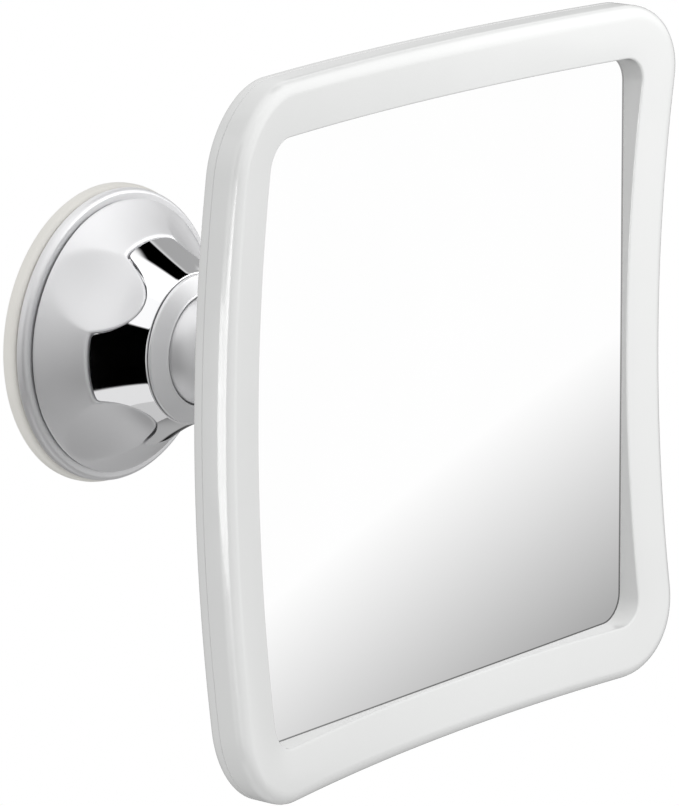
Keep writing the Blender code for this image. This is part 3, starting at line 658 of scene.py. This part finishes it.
tube_inner = DIAL_FRONT_RADIUS - DIAL_WALL
tube_drawing = [(0.0, DIAL_FRONT_RADIUS, EDGE_ROUND)]
tube_drawing += rows(EDGE_ROUND, TUBE_HEIGHT - EDGE_ROUND, DIAL_FRONT_RADIUS, DIAL_ROWS)
tube_drawing += [(TUBE_HEIGHT, DIAL_FRONT_RADIUS, EDGE_ROUND),
                 (TUBE_HEIGHT, tube_inner, EDGE_ROUND / 2)]
tube_drawing += rows(TUBE_HEIGHT - EDGE_ROUND, EDGE_ROUND, tube_inner, DIAL_ROWS // 2)
tube_drawing += [(0.0, tube_inner, EDGE_ROUND / 2)]
dial = turned(tube_drawing, steps=DIAL_STEPS)
bend(dial, dial_place)
finished("petal_dial", dial, satin_chrome, "dome", ["twist_dial"])

# %% [markdown]
# The polished socket fills the notches between the petals, flush with the dome, with an even gap.
# It could be the dome less the dial, but a boolean can't keep the gap even. So it is made as the dial
# is: a drawing with a straight outer wall, spun, and then bent so that its lower edge follows the
# petals.

# %% How the socket bends
SOCKET_BASE = 0.0107
SOCKET_FOOT_RADIUS = 0.0174
SOCKET_INNER_WALL = 0.0177
SOCKET_SHOULDER = 0.0200


def socket_place(depth, radius, turn):
    turn = crowded(turn)
    if radius <= SOCKET_FOOT_RADIUS + WELD:
        return depth, radius, turn
    edge = petal_edge(turn, GAP)
    if depth > SOCKET_SHOULDER:
        share = (depth - SOCKET_SHOULDER) / (DIAL_FRONT - SOCKET_SHOULDER)
        depth = edge + share * (DIAL_FRONT - edge)
        return depth, flare(depth) - (DIAL_FRONT_RADIUS - radius), turn
    share = (depth - SOCKET_BASE) / (SOCKET_SHOULDER - SOCKET_BASE)
    depth = SOCKET_BASE + share * (edge - SOCKET_BASE)
    inner = dial_outside(depth, turn) - DIAL_WALL - GAP
    across = (radius - SOCKET_INNER_WALL) / (DIAL_FRONT_RADIUS - SOCKET_INNER_WALL)
    return depth, inner + across * (flare(depth) - inner), turn


print("socket's shoulder in front of the wall in mm:", round(MILLIMETRES * SOCKET_SHOULDER, 1))

# %% Socket
SOCKET_FLOOR = 0.00995
SOCKET_ROWS = 14
SOCKET_EDGE = 0.00025
COLLAR_BORE = 0.0167
COLLAR_SKIRT_END = 0.0270
PIVOT_DEPTH = 0.02645
BALL_POCKET = 0.0155
POCKET_STEPS = 16

bore_bottom = COLLAR_SKIRT_END - GAP
pocket_start = math.acos((bore_bottom - PIVOT_DEPTH) / BALL_POCKET)
socket_drawing = [(SOCKET_FLOOR, 0.0, SHARP), (SOCKET_FLOOR, SOCKET_FOOT_RADIUS, SHARP),
                  (SOCKET_BASE, SOCKET_FOOT_RADIUS, SHARP), (SOCKET_BASE, SOCKET_INNER_WALL, SHARP)]
socket_drawing += rows(SOCKET_BASE, SOCKET_SHOULDER, SOCKET_INNER_WALL, SOCKET_ROWS)
socket_drawing += [(SOCKET_SHOULDER, SOCKET_INNER_WALL, SHARP),
                   (SOCKET_SHOULDER, DIAL_FRONT_RADIUS - SOCKET_EDGE / 2, SHARP),
                   (SOCKET_SHOULDER + SOCKET_EDGE, DIAL_FRONT_RADIUS, SHARP)]
socket_drawing += rows(SOCKET_SHOULDER + SOCKET_EDGE, DIAL_FRONT, DIAL_FRONT_RADIUS, SOCKET_ROWS)
socket_drawing += [(DIAL_FRONT, DIAL_FRONT_RADIUS, SOCKET_EDGE), (DIAL_FRONT, COLLAR_BORE, SHARP),
                   (bore_bottom, COLLAR_BORE, SHARP)]
socket_drawing += arc(PIVOT_DEPTH, BALL_POCKET, pocket_start, math.pi, POCKET_STEPS)
socket = turned(socket_drawing, closed=False, steps=DIAL_STEPS)
bend(socket, socket_place)
finished("polished_socket", socket, polished_chrome, "dome", ["socket_body"])

# %% [markdown]
# The collar screws over the ball and holds it. Its front is a shallow cone with a thin lip round the
# ball's opening. A cone with a ball cut out of it would do, but the lip is finer than a boolean
# leaves clean, so the hollow is an arc in the drawing, about the ball's own centre.

# %% Collar
BALL_RADIUS = 0.0140
COLLAR_RADIUS = 0.0178
COLLAR_LIP_RADIUS = 0.0133
COLLAR_EDGE = 0.0006
COLLAR_LIP = 0.0003
SEAT_STEPS = 8

seat_radius = BALL_RADIUS + GAP
lip_angle = math.asin(COLLAR_LIP_RADIUS / seat_radius)
lip_depth = PIVOT_DEPTH + seat_radius * math.cos(lip_angle)
skirt_angle = math.acos((COLLAR_SKIRT_END - PIVOT_DEPTH) / seat_radius)
collar_back = DIAL_FRONT + GAP
collar_drawing = [
    (COLLAR_SKIRT_END, COLLAR_BORE - GAP, KEEN_EDGE),
    (collar_back, COLLAR_BORE - GAP, SHARP),
    (collar_back, COLLAR_RADIUS, HAIR_EDGE),
    (collar_back + COLLAR_EDGE, COLLAR_RADIUS, SOFT_EDGE),
    (lip_depth, COLLAR_LIP_RADIUS + COLLAR_EDGE, KEEN_EDGE),
    (lip_depth + COLLAR_LIP, COLLAR_LIP_RADIUS + COLLAR_LIP, HAIR_EDGE),
]
collar_drawing += arc(PIVOT_DEPTH, seat_radius, lip_angle, skirt_angle, SEAT_STEPS)
finished("satin_collar", turned(collar_drawing), satin_chrome, "dome",
         ["retaining_collar"])

# %% [markdown]
# The ball is turned, with a flat and a spigot where the arm's neck meets it. A ready-made UV sphere
# would have to be cut for them, and in a drawing they are two more points.

# %% Ball
BALL_FLAT = 0.0124
SPIGOT_RADIUS = 0.0032
SPIGOT_LENGTH = 0.0070
SCREW_HOLE_RADIUS = 0.0015
ARM_SCREW_LENGTH = 0.0080
BALL_STEPS = 40

flat_angle = math.acos(BALL_FLAT / BALL_RADIUS)
ball_front = PIVOT_DEPTH + BALL_FLAT
spigot_end = ball_front + SPIGOT_LENGTH
ball_drawing = [
    (spigot_end - ARM_SCREW_LENGTH, 0.0, SHARP),
    (spigot_end - ARM_SCREW_LENGTH, SCREW_HOLE_RADIUS, SHARP),
    (spigot_end, SCREW_HOLE_RADIUS, SHARP),
    (spigot_end, SPIGOT_RADIUS, FINE_EDGE),
    (ball_front, SPIGOT_RADIUS, SHARP),
]
ball_drawing += arc(PIVOT_DEPTH, BALL_RADIUS, flat_angle, math.pi, BALL_STEPS)
finished("satin_ball", turned(ball_drawing, closed=False), satin_chrome, "ball",
         ["swivel_ball"])

# %% [markdown]
# The arm is a tapered stem that flares into a round flange against the frame's back. It could be a
# cone and a disc with a bevel between them, but a bevel is a part of a circle, and the flare is a
# quarter of an ellipse. A short loop draws it.

# %% Arm
ARM_NECK_RADIUS = 0.0055
ARM_WAIST_RADIUS = 0.0075
ARM_WAIST_ROUND = 0.0060
ARM_WAIST_DEPTH = 0.0700
ARM_FLANGE_RADIUS = 0.0165
ARM_FLANGE = 0.0048
ARM_FLARE = 0.0060
ARM_FLARE_STEPS = 16
ARM_WEB = 0.0030
ARM_CORE_RADIUS = 0.0031
ARM_END = 0.0883

arm_start = ball_front + GAP
web_start = spigot_end + GAP
arm_drawing = [
    (arm_start, SPIGOT_RADIUS + GAP, SHARP),
    (arm_start, ARM_NECK_RADIUS, FULL_EDGE),
    (ARM_WAIST_DEPTH, ARM_WAIST_RADIUS, ARM_WAIST_ROUND),
]
flange_out = ARM_FLANGE_RADIUS - ARM_WAIST_RADIUS
for step in range(1, ARM_FLARE_STEPS + 1):
    angle = math.pi / 2 * step / ARM_FLARE_STEPS
    depth = ARM_END - ARM_FLANGE - ARM_FLARE * (1 - math.sin(angle))
    arm_drawing.append((depth, ARM_WAIST_RADIUS + flange_out * (1 - math.cos(angle)), SHARP))
arm_drawing += [
    (ARM_END, ARM_FLANGE_RADIUS, FULL_EDGE),
    (ARM_END, ARM_CORE_RADIUS, SHARP),
    (web_start + ARM_WEB, ARM_CORE_RADIUS, SHARP),
    (web_start + ARM_WEB, SCREW_HOLE_RADIUS, SHARP),
    (web_start, SCREW_HOLE_RADIUS, SHARP),
    (web_start, SPIGOT_RADIUS + GAP, SHARP),
]
finished("satin_arm", turned(arm_drawing), satin_chrome, "head", ["mirror_arm"])

# %% [markdown]
# The frame is square with round corners, and dished: its corners come forward. It could be a bevelled
# box with a bend modifier, but a bend curves one way and the dish curves both ways. So the front and
# the back are written as two levels, and everything else is measured from one of them.

# %% Front and back of the frame
FRAME_SIZE = 0.161
FRAME_DISH = 0.0068
BACK_DISH = 0.0070
REFERENCE_DEPTH = 0.0990
BACK_OFFSET = 0.0104
BACK_BOSS_RADIUS = 0.0170
HALF = FRAME_SIZE / 2


def front_level(u, v):
    """Depth of the frame's front at a place across and up."""
    return REFERENCE_DEPTH + FRAME_DISH * (u * u + v * v) / (HALF * HALF)


def back_level(u, v):
    """Depth of the frame's back, flat on the boss and dished outside it."""
    out = max(0.0, u * u + v * v - BACK_BOSS_RADIUS ** 2)
    return REFERENCE_DEPTH - BACK_OFFSET + BACK_DISH * out / (HALF * HALF)


corner_rise = front_level(HALF, HALF) - REFERENCE_DEPTH
print("corner of the frame comes forward in mm:", round(MILLIMETRES * corner_rise, 1))

# %% [markdown]
# Each shell is one section, carried round the frame. A curve with a bevel object could carry it, but
# its mesh wouldn't tell which level each vertex is measured from. Here a corner is one spin of the
# section through a quarter turn, a side is a straight sweep, and two mirrors make the whole ring. All
# this is flat, and each vertex remembers its level. The next cell lifts the vertices on to it.

# %% Sweep a section into a ring
FRAME_CORNER = 0.0190
CORNER_STEPS = 20
SIDE_STEPS = 12
FILLET_SEGMENTS = 8


def fillet(radius, first, last):
    """Insets and drops round an edge, from first to last in quarter turns."""
    made = []
    for step in range(FILLET_SEGMENTS + 1):
        angle = math.pi / 2 * (first + (last - first) * step / FILLET_SEGMENTS)
        made.append((radius * (1 - math.cos(angle)), radius * (1 - math.sin(angle))))
    return made


def swept_ring(section, closed=True):
    """Sweep a section of (inset, height, base) points round a quarter and mirror it."""
    shape = bmesh.new()
    base_layer = shape.verts.layers.int.new("base")
    corner_middle = HALF - FRAME_CORNER
    made = []
    for inset, height, base in section:
        vertex = shape.verts.new((HALF - inset, height, corner_middle))
        vertex[base_layer] = base
        made.append(vertex)
    for here, there in zip(made, made[1:]):
        shape.edges.new((here, there))
    if closed:
        shape.edges.new((made[-1], made[0]))
    start = shape.verts[:] + shape.edges[:]
    centre = (corner_middle, 0.0, corner_middle)
    corner = bmesh.ops.spin(shape, geom=start, cent=centre, axis=(0, -1, 0),
                            angle=math.pi / 2, steps=CORNER_STEPS, use_merge=False)
    step_length = corner_middle / SIDE_STEPS
    bmesh.ops.spin(shape, geom=start, cent=centre, axis=(0, 1, 0), angle=0.0,
                   dvec=(0.0, 0.0, -step_length), steps=SIDE_STEPS, use_merge=False)
    bmesh.ops.spin(shape, geom=corner["geom_last"], cent=centre, axis=(0, 1, 0), angle=0.0,
                   dvec=(-step_length, 0.0, 0.0), steps=SIDE_STEPS, use_merge=False)
    for side in ("X", "Z"):
        bmesh.ops.mirror(shape, geom=shape.verts[:] + shape.edges[:] + shape.faces[:],
                         matrix=Matrix.Identity(4), merge_dist=WELD, axis=side)
    bmesh.ops.remove_doubles(shape, verts=shape.verts, dist=WELD)
    return shape


print("rows round a corner:", CORNER_STEPS, "and along half a side:", SIDE_STEPS)

# %% Lift a ring on to the dish
FRONT, BACK, FLAT = 1, 2, 3


def dished(shape):
    """Lift every vertex on to the level that its height is measured from."""
    base_layer = shape.verts.layers.int["base"]
    for vertex in shape.verts:
        u, height, v = vertex.co
        if vertex[base_layer] == FRONT:
            depth = front_level(u, v) - height
        elif vertex[base_layer] == BACK:
            depth = back_level(u, v) + height
        else:
            depth = height
        vertex.co.y = -depth
    return shape


print("heights are measured from the front, the back or the wall:", FRONT, BACK, FLAT)

# %% [markdown]
# The front half of the frame is a hollow moulding with a rib round the mirror's pocket. Its section
# starts at the parting line, climbs the side wall, rounds over to the border, dips over the lip, and
# comes back underneath. A solid border would look the same from the front, but a moulding has thin
# walls, and a cut through the part should show them. Mirror rays pass this piece by, because the
# mirror in the photograph shows nothing of the lip.

# %% Front frame
BORDER = 0.0125
WALL_THICKNESS = 0.0022
FRONT_FILLET = 0.0034
LIP_FILLET = 0.0005
PARTING_HEIGHT = 0.0030
MIRROR_LEVEL = 0.0030
MIRROR_UNDER_LIP = 0.0028
SEAM = 0.00004
RIB_WIDTH = 0.0016

parting = PARTING_HEIGHT + SEAM / 2
mirror_front = REFERENCE_DEPTH + MIRROR_LEVEL
lip_under = mirror_front + GAP
pocket = BORDER - MIRROR_UNDER_LIP - GAP
rib = pocket - RIB_WIDTH
border_middle = (FRONT_FILLET + BORDER - LIP_FILLET) / 2
front_section = [(0.0, parting, BACK)]
front_section += [(inset, drop, FRONT) for inset, drop in fillet(FRONT_FILLET, 0, 1)]
front_section += [(border_middle, 0.0, FRONT)]
front_section += [(BORDER - inset, drop, FRONT) for inset, drop in fillet(LIP_FILLET, 1, 0)]
front_section += [(BORDER, lip_under, FLAT), (pocket, lip_under, FLAT), (rib, lip_under, FLAT),
                  (rib, WALL_THICKNESS, FRONT), (FRONT_FILLET, WALL_THICKNESS, FRONT),
                  (WALL_THICKNESS, FRONT_FILLET, FRONT), (WALL_THICKNESS, parting, BACK)]
front = finished("frosted_front", dished(swept_ring(front_section)), frosted_acrylic, "head",
                 ["front_frame"])
front.visible_glossy = False

# %% [markdown]
# The rear shell is a shallow bowl. Its rim is swept like the front's, and the sweep leaves two open
# loops. They could be filled with one face each, but a single face can't follow the dish. So each
# loop is extruded towards the middle in rings, and only a small hole is filled there.

# %% Close a floor ring by ring
FLOOR_RINGS = 14
LAST_RING_SHARE = 0.02


def close_floor(shape):
    """Close the shape's two open loops towards the middle, ring by ring."""
    open_edges = [edge for edge in shape.edges if edge.is_boundary]
    for ring in range(1, FLOOR_RINGS + 1):
        grown = bmesh.ops.extrude_edge_only(shape, edges=open_edges)["geom"]
        moved = [part for part in grown if isinstance(part, bmesh.types.BMVert)]
        open_edges = [part for part in grown if isinstance(part, bmesh.types.BMEdge) and part.is_boundary]
        before = FLOOR_RINGS + 1 - ring
        after = FLOOR_RINGS - ring
        share = max(after, LAST_RING_SHARE) / before
        bmesh.ops.scale(shape, vec=(share, 1.0, share), verts=moved)
    bmesh.ops.holes_fill(shape, edges=open_edges, sides=0)
    return shape


print("rings in a floor:", FLOOR_RINGS)

# %% Bowl of the rear shell
REAR_WALL = 0.0015
BACK_FILLET = 0.0016
SEAM_EDGE = 0.00025
LOCATING_LIP_HEIGHT = 0.0020
LOCATING_LIP_WIDTH = 0.0013

rear_parting = PARTING_HEIGHT - SEAM / 2
lip_start = WALL_THICKNESS + GAP
lip_end = lip_start + LOCATING_LIP_WIDTH
lip_top = rear_parting + LOCATING_LIP_HEIGHT
rear_section = [(BORDER, 0.0, BACK)]
rear_section += [(inset, rise, BACK) for inset, rise in fillet(BACK_FILLET, 1, 0)]
rear_section += [(0.0, rear_parting - SEAM_EDGE, BACK), (SEAM_EDGE, rear_parting, BACK)]
rear_section += [(lip_start, rear_parting, BACK), (lip_start, lip_top, BACK),
                 (lip_end, lip_top, BACK), (lip_end, REAR_WALL, BACK), (BORDER, REAR_WALL, BACK)]
rear = dished(close_floor(swept_ring(rear_section, closed=False)))
print("points in the rear section:", len(rear_section))

# %% [markdown]
# Four posts stand on the floor, and the mirror's foam cushions rest on them. They could be pieces of
# their own, but they are moulded with the shell, so they are added to its mesh and start inside the
# floor.

# %% Posts, and the rear shell
MIRROR_THICKNESS = 0.0018
CUSHION_THICKNESS = 0.0008
SUPPORT_OFFSET = 0.0440
SUPPORT_RADIUS = 0.0050
SUPPORT_SEGMENTS = 32

upright = Matrix.Rotation(math.pi / 2, 4, "X")
post_top = mirror_front - MIRROR_THICKNESS - 2 * GAP - CUSHION_THICKNESS
for u in (-SUPPORT_OFFSET, SUPPORT_OFFSET):
    for v in (-SUPPORT_OFFSET, SUPPORT_OFFSET):
        foot = back_level(u, v) + REAR_WALL / 2
        middle = Matrix.Translation((u, -(foot + post_top) / 2, v))
        bmesh.ops.create_cone(rear, cap_ends=True, segments=SUPPORT_SEGMENTS,
                              radius1=SUPPORT_RADIUS, radius2=SUPPORT_RADIUS,
                              depth=post_top - foot, matrix=middle @ upright)
finished("frosted_back", rear, frosted_acrylic, "head", ["rear_shell"])

# %% [markdown]
# The mirror is silver behind acrylic, with an anti-fog film on its face. It could be a perfect mirror
# with no roughness at all. But the film is a touch uneven, so the roughness drifts in slow patches.
# From just inside the lip's foot outwards, under the lip, the plate is painted dark grey. This is painted
# shade for the gap between the plate and the lip, and it shows as a thin dark line at the lip's foot. The
# line could be a thin piece of its own, but the place on the plate is enough to draw it.

# %% Mirror finish
OPENING_HALF = HALF - BORDER
OPENING_CORNER = FRAME_CORNER - BORDER
# Where the painted shade at the lip's foot begins inside the opening, and how soft its edge is.
LIP_SHADE_IN_SIGHT = 0.0002
LIP_SHADE_SOFTNESS = 0.0001


def mirror_varied(finish):
    film = finish.clouds(0.030, 3.0, 0.55)
    across = finish.add("ShaderNodeSeparateXYZ", {}, {"Vector": finish.place()}, output="X")
    beyond_u = (across.size() - (OPENING_HALF - OPENING_CORNER)).largest(0.0)
    beyond_v = (across.other("Z").size() - (OPENING_HALF - OPENING_CORNER)).largest(0.0)
    outside = across.maths("SQRT", beyond_u * beyond_u + beyond_v * beyond_v) - OPENING_CORNER
    # Painted shade: one inside the opening's edge, running out under the lip, where the gap between plate
    # and lip lies in shade.
    painted_lip_shade = outside.ramp(-LIP_SHADE_IN_SIGHT - LIP_SHADE_SOFTNESS, -LIP_SHADE_IN_SIGHT + LIP_SHADE_SOFTNESS)
    silver = finish.mixed(film, (0.985, 0.985, 0.985, 1.0), (1.0, 1.0, 1.0, 1.0))
    return {
        # The dark grey here is painted shade at the lip's foot, not a colour of the plate.
        "Base Color": finish.mixed(painted_lip_shade, silver, (0.30, 0.30, 0.30, 1.0)),
        "Roughness": film.ramp(0.2, 0.8, 0.004, 0.012),
    }


mirror_face = surface_finish("mirror face", {"Metallic": 1.0}, mirror_varied)

# %% [markdown]
# The plate itself is flat, with round corners, a hair behind the frame's lip. It could be swept as the
# frame is, but one face with its corners bevelled, and then extruded, is all that a flat sheet needs.

# %% Mirror plate
plate = bmesh.new()
plate_half = OPENING_HALF + MIRROR_UNDER_LIP
mirror_back = mirror_front - MIRROR_THICKNESS
bmesh.ops.create_grid(plate, x_segments=1, y_segments=1, size=plate_half,
                      matrix=Matrix.Translation((0.0, -mirror_back, 0.0)) @ upright)
bmesh.ops.bevel(plate, geom=plate.verts[:], offset=OPENING_CORNER + MIRROR_UNDER_LIP,
                offset_type="OFFSET", segments=CORNER_STEPS, profile=0.5, affect="VERTICES", material=-1)
grown = bmesh.ops.extrude_face_region(plate, geom=plate.faces[:])["geom"]
front_verts = [part for part in grown if isinstance(part, bmesh.types.BMVert)]
bmesh.ops.translate(plate, vec=(0.0, -MIRROR_THICKNESS, 0.0), verts=front_verts)
finished("mirror_glass", plate, mirror_face, "head", ["mirror_plate"])

# %% [markdown]
# The studio is plain: soft light from all round, a little less of it from the right, and a soft lamp
# above and in front of the mirror. What metal and gloss see is set apart from that light. They see a
# white room that grows dim below, with the things that a photographer puts in it to draw a shiny
# form: a black card at the left with white on both its sides and above it, a pale table and a thin
# cloth at the left, and grey cloth, a grey table and two dark cards at the right. Compass angles
# count from the front, where the mirror looks, towards the right, and heights are the sines of
# angles above the horizon. The cards and cloths were placed by asking, for each patch of chrome in
# the photograph, where it looks in the room and how bright it is. They could be real planes round the
# object, but those would also shade it. Drawn in the world's nodes they show in metal and gloss and
# nowhere else.

# %% World and its compass
world = bpy.data.worlds.new("studio")
bpy.context.scene.world = world
world.use_nodes = True
room = Finish(world.node_tree)
heading = room.add("ShaderNodeTexCoord", {}, {}, output="Generated")
east = room.add("ShaderNodeSeparateXYZ", {}, {"Vector": heading}, output="X")
north = east.other("Y")
up = east.other("Z")


def past(angle, soft):
    """One past a compass angle in degrees, and zero before it."""
    angle = math.radians(angle)
    return (east * math.cos(angle) + north * math.sin(angle)).ramp(-soft, soft)


def sector(first, last, soft):
    return past(first, soft) * (1 - past(last, soft))


def layer(low, high, soft):
    """One between two heights, which are the sines of the angles above the horizon."""
    return up.ramp(low - soft, low + soft) * up.ramp(high - soft, high + soft, 1.0, 0.0)


print("nodes in the world's compass:", len(world.node_tree.nodes))

# %% Cards, cloths and tables
dim_below = up.ramp(-0.70, 0.75, 0.23, 1.0)
dim_front = sector(-34, 32, 0.12) * layer(0.20, 0.66, 0.08)
black_card = sector(-92, -61, 0.03) * layer(-0.68, 0.50, 0.02)
white_beside = (sector(-110, -92, 0.03) + sector(-61, -48, 0.03)) * layer(-0.30, 0.45, 0.12)
white_above = sector(-96, -36, 0.05) * layer(0.48, 0.94, 0.03)
left_table = sector(-110, -56, 0.03) * layer(-0.97, -0.68, 0.02)
left_cloth = sector(-155, -98, 0.10) * layer(0.55, 0.93, 0.06)
narrow_card = sector(70, 125, 0.05) * layer(0.765, 0.935, 0.01)
right_cloth = sector(84, 128, 0.05) * layer(-0.90, 0.42, 0.05)
right_cloth = right_cloth + sector(88, 112, 0.03) * layer(0.42, 0.755, 0.05)
right_card = sector(96, 140, 0.05) * layer(-0.50, 0.03, 0.04)
# The table is grey, and goes to white past a slanted edge.
right_table = (east * -14.94 + up * 15.03 + 16.13).largest(0.42).smallest(1.0)
right_side = sector(32, 128, 0.08) * up.ramp(-0.97, -0.88)
print("nodes with all cards:", len(world.node_tree.nodes))

# %% [markdown]
# The cards are laid over the dim room like sheets of paper. Then the world answers each kind of ray:
# white for the camera, the room with its cards for metal and gloss, and the plain light for all else.
# Pictures made with two worlds could be laid together instead, but one world does it in one picture.

# %% What metal sees, and the light that falls
left_room = room.between(left_table, dim_below * (1 - dim_front * 0.35), 0.80)
left_room = room.between(white_beside * 0.8 + white_above, left_room, 1.05) * (1 - left_cloth * 0.35)
right_room = room.between(right_cloth, right_table, 0.40) * (1 - right_card)
ceiling = up.ramp(0.92, 0.97, 1.0, 1.25)
seen = room.between(right_side, left_room, right_room) * (1 - black_card) * (1 - narrow_card) * ceiling
light = 0.715 + east * -0.11 + up * 0.09 + sector(-60, 30, 0.10) * 0.06
light = light * (1 - sector(45, 150, 0.10) * 0.35)

camera_ray = room.add("ShaderNodeLightPath", {}, {}, output="Is Camera Ray")
mirrored = camera_ray.other("Is Glossy Ray").largest(camera_ray.other("Is Transmission Ray"))
level = camera_ray + (1 - camera_ray) * (mirrored * seen + (1 - mirrored) * light)
background = world.node_tree.nodes["Background"]
background.inputs["Color"].default_value = (1.0, 1.0, 1.0, 1.0)
world.node_tree.links.new(level.socket, background.inputs["Strength"])
print("nodes in the whole world:", len(world.node_tree.nodes))

# %% [markdown]
# The softbox hangs above and in front of the mirror and lights everything. It could be a bright patch
# of the world, but a lamp close by gives the soft fall of light over the frame. It shows in no gloss.

# %% Softbox
def area_lamp(name, width, height, radiance, place, target):
    """A rectangular lamp as bright as radiance times the white room."""
    lamp = bpy.data.lights.new(name, "AREA")
    lamp.shape = "RECTANGLE"
    lamp.size = width
    lamp.size_y = height
    lamp.energy = math.pi * width * height * radiance
    holder = bpy.data.objects.new(name, lamp)
    bpy.context.collection.objects.link(holder)
    holder.location = place
    holder.rotation_euler = (Vector(target) - holder.location).to_track_quat("-Z", "Y").to_euler()
    print(name, "watts:", round(lamp.energy, 2))
    return holder


softbox = area_lamp("softbox", 0.33, 0.33, 1.75, (0.07, -0.33, 0.19), (0.0, -0.10, 0.0))
softbox.visible_glossy = False

# %% [markdown]
# Two more lamps show in gloss alone. The strip is a narrow lamp at the left that draws the bright line
# along the frame's rounding, and the reflector hangs at the right for the chrome. They could be
# cards in the world, but every shiny piece would then mirror them. Light linking gives a lamp a
# collection of the pieces that it lights.

# %% Lamps for gloss alone
strip = area_lamp("strip", 0.35, 0.05, 6.5, (-0.322, -0.125, -0.056), (-0.080, -0.104, 0.006))
reflector = area_lamp("reflector", 0.33, 0.33, 1.75, (0.17, -0.30, 0.175), (0.0, -0.10, 0.0))
chrome = [thing for thing in bpy.data.objects
          if thing.type == "MESH" and thing.active_material in (satin_chrome, polished_chrome)]
for lamp, pieces in ((strip, [front]), (reflector, chrome)):
    lamp.visible_diffuse = False
    lit = bpy.data.collections.new("lit by the " + lamp.name)
    for piece in pieces:
        lit.objects.link(piece)
    lamp.light_linking.receiver_collection = lit
    print(lamp.name, "lights", len(pieces), "pieces")

# %% [markdown]
# The floor lies far below a mirror that hangs on a wall. It is pale and keeps the object's shadow, and
# a little light of its own, which only the camera sees, brings it close to the white background. It
# could be a shadow catcher, but that needs render settings, and a plain disc needs none.

# %% Floor
FLOOR_LEVEL = -1.20
FLOOR_SIZE = 0.45
FLOOR_MIDDLE = -0.05
FLOOR_SEGMENTS = 64
floor_shape = bmesh.new()
bmesh.ops.create_circle(floor_shape, cap_ends=True, segments=FLOOR_SEGMENTS, radius=FLOOR_SIZE,
                        matrix=Matrix.Translation((0.0, FLOOR_MIDDLE, FLOOR_LEVEL)))
floor_mesh = bpy.data.meshes.new("floor")
floor_shape.to_mesh(floor_mesh)
floor_shape.free()


def floor_varied(finish):
    speck = finish.clouds(0.01, 2.0)
    seen_by_camera = finish.add("ShaderNodeLightPath", {}, {}, output="Is Camera Ray")
    return {
        "Base Color": finish.mixed(speck, (0.78, 0.78, 0.78, 1.0), (0.80, 0.80, 0.80, 1.0)),
        "Emission Color": finish.mixed(seen_by_camera, (0.0, 0.0, 0.0, 1.0), (0.35, 0.35, 0.35, 1.0)),
    }


floor_finish = surface_finish("pale floor", {"Roughness": 0.8, "Emission Strength": 1.0}, floor_varied)
floor_mesh.materials.append(floor_finish)
floor = bpy.data.objects.new("floor", floor_mesh)
bpy.context.collection.objects.link(floor)
floor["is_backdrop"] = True

# %% [markdown]
# The camera stands where the photographer's stood: a long lens, to the left of the mirror and a
# little above it. It could be turned by eye until the pictures agree, but then the frame's size and
# the camera's distance hide each other's errors. So its place and turn come from a fit to the
# frame's edges in the photograph.

# %% Camera
CAMERA_PLACE = (-0.95740, -0.83738, 0.28441)
YAW = 0.8962
PITCH = 0.2334
ROLL = 0.0048
FOCAL_PIXELS = 5498.75
PHOTO_HEIGHT = 806
SENSOR = 36.0
FAR_ENOUGH = 20.0

tilted = Matrix.Rotation(ROLL, 3, "Z") @ Matrix.Rotation(PITCH, 3, "X")
turned_view = tilted @ Matrix.Rotation(YAW, 3, "Y")
to_world = Matrix(((1.0, 0.0, 0.0), (0.0, 0.0, -1.0), (0.0, 1.0, 0.0)))
lens = bpy.data.cameras.new("camera")
lens.sensor_fit = "VERTICAL"
lens.sensor_height = SENSOR
lens.lens = FOCAL_PIXELS * SENSOR / PHOTO_HEIGHT
lens.clip_end = FAR_ENOUGH
camera = bpy.data.objects.new("camera", lens)
bpy.context.collection.objects.link(camera)
camera.matrix_world = Matrix.Translation(CAMERA_PLACE) @ (to_world @ turned_view.transposed()).to_4x4()
bpy.context.scene.camera = camera
bpy.context.scene.view_settings.view_transform = "Standard"
print("lens in mm:", round(lens.lens, 1))

# %% [markdown]
# Last, the box round all pieces is measured again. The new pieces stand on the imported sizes, so the
# two boxes should differ by a hair only.

# %% Keep the sizes and finish
seen_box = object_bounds()
growth = [[round(MILLIMETRES * (after - before), 2) for before, after in zip(old, new)]
          for old, new in zip(cad_box, seen_box)]
print("box grew in mm:", growth)
